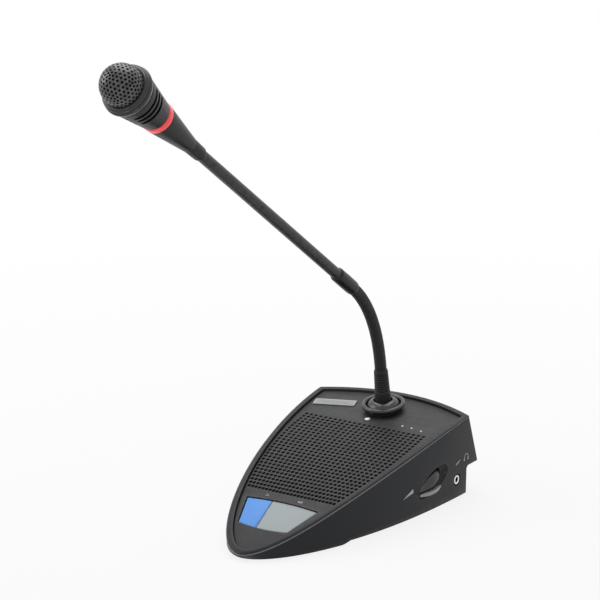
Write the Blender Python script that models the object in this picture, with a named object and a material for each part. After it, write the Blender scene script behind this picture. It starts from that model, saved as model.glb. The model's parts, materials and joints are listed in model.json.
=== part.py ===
"""Desktop conference microphone unit: wedge base with keys and loudspeaker, gooseneck arm, microphone head.

Design frame in millimetres: x to the right of the person who speaks, y from the nose of the base to its
back, z up from the desk.
"""

import math

import bmesh
import bpy
from mathutils import Matrix, Vector

# Metres in one unit of the design frame, and the gap kept between pieces that touch
MM = 0.001
GAP = 0.3

# Base outline in plan
CORNER_Y = 182.5
HALF_WIDTH = 58.5
NOSE_POWER = 1.74
WIDTH_POWER = 0.55
BACK_BULGE = 14.5
NOSE_SETBACK = 3.0
FRONT_FLARE = 6.5
BACK_FLARE = -1.0
SIDE_STEPS = 14
BACK_STEPS = 4

# Base heights
TOP_LENGTH = 180.0
NOSE_TOP = 5.0
CORNER_TOP = 55.4
TOP_CROWN = 27.0
FRONT_FLOOR = 0.6
REAR_FLOOR = 2.4
STEP_FRONT_Y = 56.0
STEP_BACK_Y = 63.0
BACK_LEAN = 0.383
UNDERCUT_Y = 181.0
UNDERCUT_Z = 21.0

# Housing walls, the recess for the top panel and the ledge under it
WALL = 2.6
RIM = 4.2
EDGE_STEPS = ((0.0, 2.0), (0.7, 0.6), (2.4, 0.0))
EDGE_FADE_Y = 110.0
EDGE_BACK_SHARE = 0.4
PANEL_DROP = 1.5
PANEL_THICK = 1.8
RECESS_DEPTH = PANEL_DROP + PANEL_THICK + GAP
LEDGE_INSET = 6.4
LEDGE_THICK = 2.5
CAVITY_FRONT_Y = 10.0
OPENING_FRONT_Y = 12.0

# Bottom plate, feet, and the screws that close the base
PLATE_INSET = 3.0
PLATE_FRONT_Y = 16.0
PLATE_BACK_Y = 178.0
PLATE_LOW = REAR_FLOOR + 0.2
PLATE_TOP = PLATE_LOW + 1.6
FOOT_RADIUS = 6.5
FOOT_PLACES = {
    "front_left": (-17, 30), "front_right": (17, 30), "rear_left": (-40, 160), "rear_right": (40, 160),
}
POST_RADIUS = 3.0
POST_BORE = 1.4
BOSS_RADIUS = 3.5
BOSS_LOW = PLATE_TOP + GAP
BASE_SCREW_PLACES = {
    "front_left": (-33.5, 60), "front_right": (33.5, 60),
    "mid_left": (-46.5, 112), "mid_right": (46.5, 112), "rear": (0, 175),
}
SCREW_SHANK = 1.3
SCREW_HEAD = 2.8
SCREW_BORE = 1.7

# Keys, their switches and their board
KEY_Y = 36.2
KEY_FRONT = -10.6
KEY_BACK = 13.0
KEY_BOW = 1.8
KEY_END_STEPS = 4
KEY_FRONT_HALF = 18.4
KEY_BACK_HALF = 26.4
DIVIDER_FRONT = -4.5
DIVIDER_BACK = -8.2
DIVIDER_GAP = 0.25
KEY_CLEARANCE = 0.4
KEY_PROUD = -0.5
KEY_BEVEL = 0.4
KEY_FLANGE = 0.7
KEY_FLANGE_TOP = -2.2
KEY_FLANGE_LOW = -3.2
KEY_STEM_LOW = -4.6
KEY_CENTRES = {"priority": -14.5, "speak": 8.5}
SWITCH_TOP = -6.0
BOARD_TOP = -8.9
BOARD_THICK = 1.2
KEY_POST_V = 18.4
KEY_POST_X = 16.0
KEY_POST_RADIUS = 2.4
KEY_POST_BORE = 1.3
KEY_BOARD_OUTLINE = ((-17, -8), (17, -8), (21, 22.5), (-21, 22.5))

# Loudspeaker grille and loudspeaker
GRILLE_FRONT_Y = 57.5
GRILLE_BACK_Y = 143.5
GRILLE_FRONT_HALF = 32.3
GRILLE_BACK_HALF = 45.3
GRILLE_CROWN = 16.6
GRILLE_ROWS = 5
GRILLE_COLUMNS = 13
SLOT_WIDTH = 2.2
SLOT_SHARE = 0.8
SPEAKER_Y = 100.0
SPEAKER_RADIUS = 27.0

# Main board
MAIN_BOARD_LOW = 8.4
MAIN_BOARD_THICK = 1.6
MAIN_BOARD_OUTLINE = (
    (-34, 80), (34, 80), (44, 150), (44, 174), (34, 174), (34, 163), (-44, 163), (-44, 150),
)
MAIN_BOARD_POSTS = {"front_left": (-28, 86), "front_right": (28, 86), "rear": (-6, 157)}

# Volume wheel in the right wall
WHEEL_Y = 140.0
WHEEL_Z = 21.4
WHEEL_TILT = math.radians(20.0)
WHEEL_RADIUS = 20.0
WHEEL_THICK = 10.0
WHEEL_PROUD = 0.9
WHEEL_BORE = 3.1
WHEEL_CLEARANCE = 0.5
WALL_X = 57.3
WHEEL_X = WALL_X + WHEEL_PROUD - WHEEL_RADIUS
SCOOP_Y = 138.0
SCOOP_Z = 21.0
SCOOP_HALF_LENGTH = 20.0
SCOOP_HALF_HEIGHT = 8.0
SCOOP_DEPTH = 4.8

# Headphone jack in the right wall and the two line sockets in the back
JACK_Y = 169.2
JACK_Z = 14.6
JACK_HOLE = 4.2
JACK_RING = 3.2
JACK_BORE = 1.8
JACK_DEPTH = 12.0
SOCKET_X = 20.0
SOCKET_Z = 12.2
SOCKET_RADIUS = 7.4
SOCKET_BORE = 6.0
SOCKET_DEPTH = 10.0

# Lamps and blank plate on the top panel
POWER_LAMP = (-2.9, 154.4, 1.8)
STATUS_LAMPS = ((24.4, 154.0, 0.65), (31.7, 153.4, 0.65), (39.7, 152.0, 0.65))
BLANK_PLATE_PLACE = (-36.4, 166.7)
BLANK_PLATE_TURN = math.radians(15.0)
BLANK_PLATE_SIZE = (29.0, 8.0, 0.5)

# Neck socket and boot
NECK_Y = 170.2
BOOT_LOW = 2.3
BOOT_TOP = 29.6
BOOT_LOW_RADIUS = 5.9
BOOT_TOP_RADIUS = 4.8
BOOT_GROOVES = (15.0, 19.5, 24.0)
BUSH_RADIUS = 5.9
BUSH_BORE = 3.0
NECK_HOLE = 6.4

# Gooseneck and arm
NECK_SEGMENTS = 7
NECK_LENGTH = 74.2
NECK_RADIUS = 3.95
NECK_BEND_POWER = 1.235
ARM_TILT = math.radians(54.8)
END_CONE = 0.85
END_FLAT = 0.9
COLLAR_LENGTH = 25.0
COLLAR_RADIUS = 4.75
ROD_RADIUS = 3.68
ROD_BORE = 2.75
SLIP = 0.3

# Head stations along the arm from the end of the neck
SLEEVE_START = 204.7
CONE_START = 217.0
LIGHT_START = 253.2
BODY_START = 257.8
GROOVE_STARTS = (269.6, 273.7, 277.8)
GROOVE_WIDTH = 2.0
GROOVE_DEPTH = 1.1
RIM_START = 285.0
BALL_CENTRE = 295.1
BALL_RADIUS = 12.6
BALL_WALL = 0.8
SLEEVE_RADIUS = 4.6
CONE_RADIUS = 4.9
CONE_WALL = 1.3
LIGHT_RADIUS = 9.9
LIGHT_BORE = 8.3
BODY_WALL = 2.0
RIM_RADIUS = 15.7
HOLDER_START = 277.0

# Facets round the turned pieces
ROUND_COARSE = 12
ROUND_NECK = 16
ROUND_HEAD = 24
ROUND_SPEAKER = 28

# Finishes: colour, roughness, metallic value
FINISHES = {
    "charcoal_plastic": ((0.045, 0.047, 0.051), 0.5, 0.0),
    "black_plastic": ((0.02, 0.02, 0.022), 0.4, 0.0),
    "black_paint": ((0.016, 0.016, 0.017), 0.45, 0.2),
    "black_rubber": ((0.018, 0.018, 0.018), 0.8, 0.0),
    "blue_key": ((0.17, 0.38, 0.87), 0.45, 0.0),
    "grey_key": ((0.40, 0.44, 0.45), 0.45, 0.0),
    "red_light": ((0.85, 0.05, 0.06), 0.3, 0.0),
    "white_lamp": ((0.85, 0.85, 0.85), 0.3, 0.0),
    "silver": ((0.55, 0.56, 0.57), 0.35, 1.0),
    "steel": ((0.5, 0.5, 0.5), 0.4, 1.0),
    "brass": ((0.72, 0.52, 0.2), 0.35, 1.0),
    "board_green": ((0.03, 0.16, 0.07), 0.5, 0.0),
    "paper_cone": ((0.03, 0.03, 0.03), 0.9, 0.0),
    "foam": ((0.02, 0.02, 0.02), 1.0, 0.0),
}


def clear_scene():
    for obj in list(bpy.data.objects):
        bpy.data.objects.remove(obj, do_unlink=True)


def finish_of(name, finish):
    colour, roughness, metallic = FINISHES[finish]
    material = bpy.data.materials.new(name + "_" + finish)
    material.use_nodes = True
    shader = material.node_tree.nodes["Principled BSDF"]
    shader.inputs["Base Color"].default_value = (*colour, 1.0)
    shader.inputs["Roughness"].default_value = roughness
    shader.inputs["Metallic"].default_value = metallic
    return material


def place(name, bm, parent, at=(0, 0, 0), turn=(0, 0, 0)):
    """Turns a mesh made in millimetres into an object under its parent."""
    bmesh.ops.recalc_face_normals(bm, faces=bm.faces)
    bmesh.ops.scale(bm, verts=bm.verts, vec=(MM, MM, MM))
    mesh = bpy.data.meshes.new(name)
    bm.to_mesh(mesh)
    bm.free()
    mesh.shade_smooth()
    mesh.set_sharp_from_angle(angle=math.radians(35))
    obj = bpy.data.objects.new(name, mesh)
    bpy.context.scene.collection.objects.link(obj)
    obj.parent = parent
    obj.location = Vector(at) * MM
    obj.rotation_euler = turn
    return obj


def piece(name, bm, finish, parent, at=(0, 0, 0), turn=(0, 0, 0)):
    obj = place(name, bm, parent, at, turn)
    obj.data.materials.append(finish_of(name, finish))
    return obj


def helper(name, bm, parent, at=(0, 0, 0), turn=(0, 0, 0)):
    obj = place(name, bm, parent, at, turn)
    obj.hide_render = True
    obj.display_type = "WIRE"
    return obj


def frame_empty(name, parent, at, turn=(0, 0, 0)):
    empty = bpy.data.objects.new(name, None)
    bpy.context.scene.collection.objects.link(empty)
    empty.parent = parent
    empty.location = Vector(at) * MM
    empty.rotation_euler = turn
    return empty


def combine(target, other, operation="DIFFERENCE"):
    modifier = target.modifiers.new(other.name, "BOOLEAN")
    modifier.operation = operation
    modifier.solver = "EXACT"
    modifier.object = other


# Meshes

def circle(radius, height, segments):
    angles = [2 * math.pi * i / segments for i in range(segments)]
    return [(radius * math.cos(a), radius * math.sin(a), height) for a in angles]


def close_end(bm, ring, tip_height):
    """Closes a ring with one flat face, or with a fan where its tip stands off it."""
    if math.isclose(ring[0].co.z, tip_height, abs_tol=1e-4):
        bm.faces.new(ring)
        return
    tip = bm.verts.new((0, 0, tip_height))
    for i in range(len(ring)):
        bm.faces.new((ring[i - 1], ring[i], tip))


def turned(profile, segments):
    """A turned solid from (radius, height) pairs: a ring where no radius is zero, else closed on the axis."""
    bm = bmesh.new()
    loops = [circle(radius, height, segments) for radius, height in profile if radius > 0]
    if len(loops) == len(profile):
        rings = join_loops(bm, loops)
        for i in range(segments):
            bm.faces.new((rings[-1][i - 1], rings[-1][i], rings[0][i], rings[0][i - 1]))
        return bm
    rings = join_loops(bm, loops)
    close_end(bm, rings[0], profile[0][1])
    close_end(bm, rings[-1], profile[-1][1])
    return bm


def rod_mesh(radius, low, high, segments=ROUND_COARSE):
    return turned([(0, low), (radius, low), (radius, high), (0, high)], segments)


def join_loops(bm, loops):
    """Side faces between loops of equal length. The loops come back as vertices."""
    rings = [[bm.verts.new(point) for point in loop] for loop in loops]
    for low, high in zip(rings, rings[1:]):
        for i in range(len(low)):
            k = (i + 1) % len(low)
            bm.faces.new((low[i], low[k], high[k], high[i]))
    return rings


def prism(loops):
    """A solid through flat loops, closed by one face at each end."""
    bm = bmesh.new()
    rings = join_loops(bm, loops)
    bm.faces.new(rings[0][::-1])
    bm.faces.new(rings[-1])
    return bm


def flat_prism(outline, low, high):
    return prism([[(x, y, z) for x, y in outline] for z in (low, high)])


def box_mesh(low, high):
    (x0, y0, z0), (x1, y1, z1) = low, high
    return flat_prism(((x0, y0), (x1, y0), (x1, y1), (x0, y1)), z0, z1)


def across(bm, ring):
    """Closes a symmetric loop that starts at the nose with strips that run from side to side."""
    count = len(ring)
    half = count // 2
    bm.faces.new((ring[0], ring[1], ring[-1]))
    for i in range(1, half - 1):
        bm.faces.new((ring[i], ring[i + 1], ring[count - i - 1], ring[count - i]))
    bm.faces.new((ring[half - 1], ring[half], ring[half + 1]))


def shield(loops):
    """A solid through loops of the base outline, closed by strips at each end."""
    bm = bmesh.new()
    rings = join_loops(bm, loops)
    across(bm, rings[0])
    across(bm, rings[-1])
    return bm


def trim(bm, point, normal):
    """Keeps what lies on the side that the normal points to, and closes the cut."""
    geometry = bm.verts[:] + bm.edges[:] + bm.faces[:]
    bmesh.ops.bisect_plane(bm, geom=geometry, plane_co=point, plane_no=normal, clear_inner=True)
    rim = [edge for edge in bm.edges if edge.is_boundary]
    bmesh.ops.holes_fill(bm, edges=rim)
    return bm


# The base outline and its top surface

def top_height(y):
    t = y / TOP_LENGTH
    return NOSE_TOP + (CORNER_TOP - NOSE_TOP) * t + TOP_CROWN * t * (1 - t)


def top_tilt(y):
    slope = (CORNER_TOP - NOSE_TOP + TOP_CROWN * (1 - 2 * y / TOP_LENGTH)) / TOP_LENGTH
    return math.atan(slope)


def outline(nose_setback=0.0, front_flare=0.0, back_flare=0.0, back_run=0.0):
    """The plan outline from the nose, up the right side, round the back and down the left."""
    half = [(0.0, nose_setback)]
    for i in range(1, SIDE_STEPS + 1):
        t = (i / SIDE_STEPS) ** 2
        width = HALF_WIDTH * (1 - (1 - t) ** NOSE_POWER) ** WIDTH_POWER
        x = width + front_flare * (1 - t) * math.sqrt(t) + back_flare * t
        half.append((x, nose_setback + (CORNER_Y - nose_setback) * t + back_run * t**4))
    for i in range(1, BACK_STEPS + 1):
        share = 1 - i / BACK_STEPS
        half.append((share * (HALF_WIDTH + back_flare), CORNER_Y + back_run + BACK_BULGE * (1 - share**2)))
    return half + [(-x, y) for x, y in reversed(half[1:-1])]


def inset(loop, distance, share=None):
    """The outline moved inwards by a distance, or by a share of it at each y, with its corners kept."""
    count = len(loop)
    moved = []
    for i in range(count):
        before, here, after = (Vector(loop[k % count]) for k in (i - 1, i, i + 1))
        first = (here - before).normalized()
        second = (after - here).normalized()
        inward = Vector((-first.y - second.y, first.x + second.x))
        reach = distance * share(here.y) if share else distance
        moved.append(tuple(here + inward * reach / (1 + first.dot(second))))
    return moved


def on_top(loop, drop):
    return [(x, y, top_height(y) - drop) for x, y in loop]


def at_height(loop, z):
    return [(x, y, z) for x, y in loop]


def edge_share(y):
    """How much of the rim's rounding is kept at y: all of it in front, less towards the back."""
    fade = min(max((y - EDGE_FADE_Y) / (CORNER_Y - EDGE_FADE_Y), 0.0), 1.0)
    return 1 - (1 - EDGE_BACK_SHARE) * fade


def rim_edge(step, drop):
    """A loop round the rim's outer edge, moved inwards and down."""
    loop = inset(TOP_OUTLINE, step, edge_share)
    return [(x, y, top_height(y) - drop * edge_share(y)) for x, y in loop]


BACK_RUN = BACK_LEAN * (CORNER_TOP - FRONT_FLOOR)
TOP_OUTLINE = outline()
LOW_OUTLINE = outline(NOSE_SETBACK, FRONT_FLARE, BACK_FLARE, BACK_RUN)


def panel_point(x, y):
    return (x, y, top_height(y) - PANEL_DROP)


# The gooseneck's path, in the middle plane

def neck_path():
    """Start of each segment with its tilt, then the start of the arm."""
    tilt = top_tilt(NECK_Y)
    _, y, z = panel_point(0, NECK_Y)
    y -= (BOOT_TOP + GAP / 2) * math.sin(tilt)
    z += (BOOT_TOP + GAP / 2) * math.cos(tilt)
    stations = []
    step = NECK_LENGTH / NECK_SEGMENTS
    for k in range(NECK_SEGMENTS):
        share = ((k + 0.5) / NECK_SEGMENTS) ** NECK_BEND_POWER
        bend = tilt + (ARM_TILT - tilt) * share
        stations.append((y, z, bend))
        y -= step * math.sin(bend)
        z += step * math.cos(bend)
    return stations, (y, z)


NECK_STATIONS, ARM_START = neck_path()

# The origin is under the middle of the whole unit, from the front of the head to the back of the base
HEAD_FRONT_Y = ARM_START[0] - BALL_CENTRE * math.sin(ARM_TILT) - BALL_RADIUS
BACK_TOP = top_height(CORNER_Y + BACK_BULGE)
BACK_Y = CORNER_Y + BACK_BULGE + BACK_RUN * (BACK_TOP - UNDERCUT_Z) / (BACK_TOP - FRONT_FLOOR)
ORIGIN_Y = (HEAD_FRONT_Y + BACK_Y) / 2


# Housing and bottom

def underside_cutter(base):
    """What is cut from under the housing: the step behind the nose and the undercut for the line sockets."""
    side = (
        (STEP_FRONT_Y, -5.0), (STEP_FRONT_Y, FRONT_FLOOR - 0.1), (STEP_BACK_Y, REAR_FLOOR),
        (UNDERCUT_Y, REAR_FLOOR), (UNDERCUT_Y, UNDERCUT_Z), (BACK_Y + 30, UNDERCUT_Z), (BACK_Y + 30, -5.0),
    )
    reach = HALF_WIDTH + 20
    return helper("underside_cutter", prism([[(x, y, z) for y, z in side] for x in (-reach, reach)]), base)


def cavity_cutter(base):
    low = inset(LOW_OUTLINE, WALL)
    high = on_top(inset(TOP_OUTLINE, WALL), RECESS_DEPTH + LEDGE_THICK)
    space = trim(shield([at_height(low, FRONT_FLOOR - 0.8), high]), (0, CAVITY_FRONT_Y, 0), (0, 1, 0))
    cavity = helper("cavity_cutter", space, base)
    block_low = (-HALF_WIDTH - 20, UNDERCUT_Y - WALL, -5)
    block_high = (HALF_WIDTH + 20, BACK_Y + 30, UNDERCUT_Z + WALL)
    combine(cavity, helper("rear_wall_block", box_mesh(block_low, block_high), base))
    half = (SCOOP_HALF_LENGTH + 2, SCOOP_HALF_HEIGHT + 1)
    boss = box_mesh((-3.0, -half[0], -half[1]), (10.0, half[0], half[1]))
    boss_x = WALL_X - SCOOP_DEPTH
    combine(cavity, helper("wheel_boss", boss, base, (boss_x, SCOOP_Y, SCOOP_Z), (WHEEL_TILT, 0, 0)))
    for name, (x, y) in BASE_SCREW_PLACES.items():
        boss_top = top_height(y) if name != "rear" else UNDERCUT_Z + WALL + 1
        boss = helper("screw_boss_" + name, rod_mesh(BOSS_RADIUS, BOSS_LOW, boss_top), base, (x, y, 0))
        combine(cavity, boss)
    return cavity


def recess_cutter(base):
    loop = inset(TOP_OUTLINE, RIM)
    return helper("recess_cutter", shield([on_top(loop, RECESS_DEPTH), on_top(loop, -3)]), base)


def opening_cutter(base):
    loop = inset(TOP_OUTLINE, LEDGE_INSET)
    space = shield([on_top(loop, RECESS_DEPTH + LEDGE_THICK + 1), on_top(loop, RECESS_DEPTH - 1)])
    return helper("opening_cutter", trim(space, (0, OPENING_FRONT_Y, 0), (0, 1, 0)), base)


def scoop_cutter(base):
    bm = bmesh.new()
    bmesh.ops.create_uvsphere(bm, u_segments=20, v_segments=12, radius=1.0)
    scale = Matrix.Diagonal((SCOOP_DEPTH, SCOOP_HALF_LENGTH, SCOOP_HALF_HEIGHT))
    bmesh.ops.transform(bm, matrix=scale.to_4x4(), verts=bm.verts)
    return helper("scoop_cutter", bm, base, (WALL_X, SCOOP_Y, SCOOP_Z), (WHEEL_TILT, 0, 0))


def wheel_profile(radius, thick):
    """Half of a barrel-shaped rim, from its top edge to its bottom edge."""
    rim = [(radius - 3.2, 0.5), (radius - 1.3, 0.4), (radius - 0.3, 0.22), (radius, 0.0)]
    heights = [(r, share * thick) for r, share in rim]
    return heights + [(r, -z) for r, z in reversed(heights[:-1])]


def wheel_slot_cutter(base):
    profile = wheel_profile(WHEEL_RADIUS + WHEEL_CLEARANCE, WHEEL_THICK + 2 * WHEEL_CLEARANCE)
    profile = [(0, profile[0][1])] + profile + [(0, profile[-1][1])]
    at = (WHEEL_X, WHEEL_Y, WHEEL_Z)
    return helper("wheel_slot_cutter", turned(profile, 32), base, at, (WHEEL_TILT, 0, 0))


def make_housing(base):
    foot = at_height(LOW_OUTLINE, FRONT_FLOOR)
    hull = shield([foot] + [rim_edge(step, drop) for step, drop in EDGE_STEPS])
    housing = piece("housing_shell", hull, "charcoal_plastic", base)
    cutters = (
        underside_cutter, cavity_cutter, recess_cutter, opening_cutter, scoop_cutter, wheel_slot_cutter,
    )
    for cutter in cutters:
        combine(housing, cutter(base))
    towards_x = (0, math.pi / 2, 0)
    jack = rod_mesh(JACK_HOLE, -10, 10, 16)
    combine(housing, helper("jack_cutter", jack, base, (WALL_X, JACK_Y, JACK_Z), towards_x))
    for side, x in (("left", -SOCKET_X), ("right", SOCKET_X)):
        hole = rod_mesh(SOCKET_RADIUS + GAP, -6, 6, 20)
        at = (x, UNDERCUT_Y, SOCKET_Z)
        combine(housing, helper("socket_cutter_" + side, hole, base, at, (math.pi / 2, 0, 0)))
    for name, (x, y) in BASE_SCREW_PLACES.items():
        bore = rod_mesh(SCREW_BORE, BOSS_LOW - 1, BOSS_LOW + 9)
        combine(housing, helper("screw_cutter_" + name, bore, base, (x, y, 0)))


def make_bottom(base):
    loop = inset(LOW_OUTLINE, PLATE_INSET)
    bm = shield([at_height(loop, PLATE_LOW), at_height(loop, PLATE_TOP)])
    trim(bm, (0, PLATE_FRONT_Y, 0), (0, 1, 0))
    trim(bm, (0, PLATE_BACK_Y, 0), (0, -1, 0))
    plate = piece("bottom_plate", bm, "steel", base)
    post_top = MAIN_BOARD_LOW - GAP
    for name, (x, y) in MAIN_BOARD_POSTS.items():
        post = rod_mesh(POST_RADIUS, PLATE_TOP - 0.4, post_top)
        combine(plate, helper("post_" + name, post, base, (x, y, 0)), "UNION")
        bore = rod_mesh(POST_BORE, PLATE_TOP + 0.6, post_top + 1)
        combine(plate, helper("post_bore_" + name, bore, base, (x, y, 0)))
    for name, (x, y) in BASE_SCREW_PLACES.items():
        hole = rod_mesh(SCREW_BORE, PLATE_LOW - 1, PLATE_TOP + 1)
        combine(plate, helper("plate_hole_" + name, hole, base, (x, y, 0)))
        shank = [(SCREW_SHANK, PLATE_LOW - GAP), (SCREW_SHANK, BOSS_LOW + 7.5), (0, BOSS_LOW + 8.3)]
        head = [(0, 1.0), (SCREW_HEAD - 0.5, 1.0), (SCREW_HEAD, 1.4), (SCREW_HEAD, PLATE_LOW - GAP)]
        piece("base_screw_" + name, turned(head + shank, ROUND_COARSE), "steel", base, (x, y, 0))
    for name, (x, y) in FOOT_PLACES.items():
        top = PLATE_LOW - GAP
        profile = [(0, 0), (FOOT_RADIUS - 0.6, 0), (FOOT_RADIUS, 0.6), (FOOT_RADIUS, top), (0, top)]
        piece("foot_" + name, turned(profile, 20), "black_rubber", base, (x, y, 0))


# Top panel with its grille, and what sits on it

def grille_half(y):
    t = (y - GRILLE_FRONT_Y) / (GRILLE_BACK_Y - GRILLE_FRONT_Y)
    return GRILLE_FRONT_HALF + (GRILLE_BACK_HALF - GRILLE_FRONT_HALF) * t + GRILLE_CROWN * t * (1 - t)


def grille_cutter(base):
    """Slots in rows that fan out with the sides of the base."""
    bm = bmesh.new()
    pitch = (GRILLE_BACK_Y - GRILLE_FRONT_Y) / GRILLE_ROWS
    reach = (GRILLE_COLUMNS - 1) / 2
    for row in range(GRILLE_ROWS):
        front = GRILLE_FRONT_Y + pitch * (row + (1 - SLOT_SHARE) / 2)
        back = front + pitch * SLOT_SHARE
        for column in range(GRILLE_COLUMNS):
            share = (column - reach) / reach
            front_x = share * grille_half(front)
            back_x = share * grille_half(back)
            half = SLOT_WIDTH / 2
            corners = (
                (front_x - half, front), (front_x + half, front),
                (back_x + half, back), (back_x - half, back),
            )
            rings = join_loops(bm, [[(x, y, z) for x, y in corners] for z in (0, CORNER_TOP + 20)])
            bm.faces.new(rings[0][::-1])
            bm.faces.new(rings[1])
    return helper("grille_cutter", bm, base)


def key_half(v):
    return KEY_FRONT_HALF + (KEY_BACK_HALF - KEY_FRONT_HALF) * (v - KEY_FRONT) / (KEY_BACK - KEY_FRONT)


def divider(v):
    return DIVIDER_FRONT + (DIVIDER_BACK - DIVIDER_FRONT) * (v - KEY_FRONT) / (KEY_BACK - KEY_FRONT)


def key_end(left, right, grow_left, grow_right, end, bow):
    """Points along a bowed end of a key, from its left edge to its right edge."""
    def bowed(x):
        return end + bow * (1 - (x / key_half(end)) ** 2)

    start = left(bowed(left(end))) - grow_left
    stop = right(bowed(right(end))) + grow_right
    steps = [start + (stop - start) * i / KEY_END_STEPS for i in range(KEY_END_STEPS + 1)]
    return [(x, bowed(x)) for x in steps]


def key_loop(left, right, grow_left, grow_right, grow_ends, z):
    """Outline of a key between two slanting edges and two bowed ends."""
    front = key_end(left, right, grow_left, grow_right, KEY_FRONT - grow_ends, -KEY_BOW)
    back = key_end(left, right, grow_left, grow_right, KEY_BACK + grow_ends, KEY_BOW)
    return [(x, v, z) for x, v in front + back[::-1]]


def left_side(v):
    return -key_half(v)


def make_top_panel(base, key_frame):
    loop = inset(TOP_OUTLINE, RIM + GAP)
    bm = shield([on_top(loop, PANEL_DROP + PANEL_THICK), on_top(loop, PANEL_DROP)])
    panel = piece("top_panel", bm, "charcoal_plastic", base)
    combine(panel, grille_cutter(base))
    gap = KEY_CLEARANCE
    around = [key_loop(left_side, key_half, gap, gap, gap, z) for z in (-6, 6)]
    combine(panel, helper("key_opening_cutter", prism(around), key_frame))
    neck = rod_mesh(NECK_HOLE, -8, 8, ROUND_HEAD)
    seat = panel_point(0, NECK_Y)
    combine(panel, helper("neck_hole_cutter", neck, base, seat, (top_tilt(NECK_Y), 0, 0)))
    for i, (x, y, radius) in enumerate((POWER_LAMP, *STATUS_LAMPS)):
        hole = rod_mesh(radius + GAP, -8, 8)
        combine(panel, helper(f"lamp_cutter_{i}", hole, base, panel_point(x, y), (top_tilt(y), 0, 0)))
    for side, x in (("left", -KEY_POST_X), ("right", KEY_POST_X)):
        post = rod_mesh(KEY_POST_RADIUS, BOARD_TOP + GAP, -PANEL_THICK + 0.5)
        combine(panel, helper("key_post_" + side, post, key_frame, (x, KEY_POST_V, 0)), "UNION")
        bore = rod_mesh(KEY_POST_BORE, BOARD_TOP - 1, -4.5)
        combine(panel, helper("key_post_bore_" + side, bore, key_frame, (x, KEY_POST_V, 0)))


def make_lamps(base):
    names = ("power_lamp", "status_lamp_1", "status_lamp_2", "status_lamp_3")
    for name, (x, y, radius) in zip(names, (POWER_LAMP, *STATUS_LAMPS)):
        collar = radius + 0.8
        low = -PANEL_THICK - 0.4
        profile = [
            (0, 0.3), (radius * 0.7, 0.22), (radius, 0.0), (radius, low),
            (collar, low), (collar, low - 0.9), (radius, low - 0.9), (radius, low - 2.5), (0, low - 2.5),
        ]
        piece(name, turned(profile, ROUND_COARSE), "white_lamp", base, panel_point(x, y), (top_tilt(y), 0, 0))


def make_blank_plate(base):
    length, width, thick = BLANK_PLATE_SIZE
    low = 0.25
    bm = box_mesh((-length / 2, -width / 2, low), (length / 2, width / 2, low + thick))
    turn = (top_tilt(BLANK_PLATE_PLACE[1]), 0, BLANK_PLATE_TURN)
    bmesh.ops.rotate(bm, verts=bm.verts, cent=(0, 0, 0), matrix=Matrix.Rotation(turn[2], 3, "Z"))
    piece("blank_plate", bm, "silver", base, panel_point(*BLANK_PLATE_PLACE), (turn[0], 0, 0))


# Keys

def make_key(name, finish, left, right, grow_left, grow_right, key_frame):
    loops = [
        key_loop(left, right, grow_left, grow_right, KEY_FLANGE, KEY_FLANGE_LOW),
        key_loop(left, right, grow_left, grow_right, KEY_FLANGE, KEY_FLANGE_TOP),
        key_loop(left, right, 0, 0, 0, KEY_FLANGE_TOP),
        key_loop(left, right, 0, 0, 0, KEY_PROUD - KEY_BEVEL),
        key_loop(left, right, -KEY_BEVEL, -KEY_BEVEL, -KEY_BEVEL, KEY_PROUD),
    ]
    key = piece(name + "_key", prism(loops), finish, key_frame)
    centre = (KEY_CENTRES[name], 0, 0)
    stem = rod_mesh(1.8, KEY_STEM_LOW, KEY_FLANGE_LOW + 0.5)
    combine(key, helper(name + "_stem", stem, key_frame, centre), "UNION")
    low = BOARD_TOP + GAP
    shoulder = SWITCH_TOP - 0.5
    body = [(0, low), (3.2, low), (3.2, shoulder), (1.5, shoulder), (1.5, SWITCH_TOP), (0, SWITCH_TOP)]
    piece(name + "_switch", turned(body, ROUND_COARSE), "black_plastic", key_frame, centre)


def make_keys(key_frame):
    def split_left(v):
        return divider(v) - DIVIDER_GAP

    def split_right(v):
        return divider(v) + DIVIDER_GAP

    make_key("priority", "blue_key", left_side, split_left, KEY_FLANGE, 0, key_frame)
    make_key("speak", "grey_key", split_right, key_half, 0, KEY_FLANGE, key_frame)
    low = BOARD_TOP - BOARD_THICK
    board = piece("key_board", flat_prism(KEY_BOARD_OUTLINE, low, BOARD_TOP), "board_green", key_frame)
    for side, x in (("left", -KEY_POST_X), ("right", KEY_POST_X)):
        hole = rod_mesh(KEY_POST_BORE, low - 1, BOARD_TOP + 1)
        combine(board, helper("key_board_hole_" + side, hole, key_frame, (x, KEY_POST_V, 0)))
        top = low - GAP
        head = [(2.1, top), (2.1, top - 0.8), (1.6, top - 1.2), (0, top - 1.2)]
        profile = [(0, -5.0), (1.0, -5.4), (1.0, top)] + head
        screw = turned(profile, ROUND_COARSE)
        piece("key_board_screw_" + side, screw, "steel", key_frame, (x, KEY_POST_V, 0))


# Loudspeaker and main board

def make_speaker(base):
    at = panel_point(0, SPEAKER_Y)
    turn = (top_tilt(SPEAKER_Y), 0, 0)
    r = SPEAKER_RADIUS
    frame = [
        (r, -3.8), (r, -5.2), (r - 2.4, -5.2), (15.0, -14.5), (11.0, -14.5),
        (11.0, -13.3), (14.2, -13.3), (r - 3.8, -4.6), (r - 3.4, -3.8),
    ]
    piece("speaker_frame", turned(frame, ROUND_SPEAKER), "black_paint", base, at, turn)
    cone = [
        (0, -8.2), (5.0, -8.8), (7.4, -10.2), (21.8, -4.9),
        (21.8, -5.5), (7.2, -11.0), (4.8, -9.6), (0, -9.0),
    ]
    piece("speaker_cone", turned(cone, ROUND_SPEAKER), "paper_cone", base, at, turn)
    magnet = [(0, -14.8), (12.8, -14.8), (13.5, -15.5), (13.5, -22.0), (12.8, -22.7), (0, -22.7)]
    piece("speaker_magnet", turned(magnet, ROUND_SPEAKER), "steel", base, at, turn)


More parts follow.
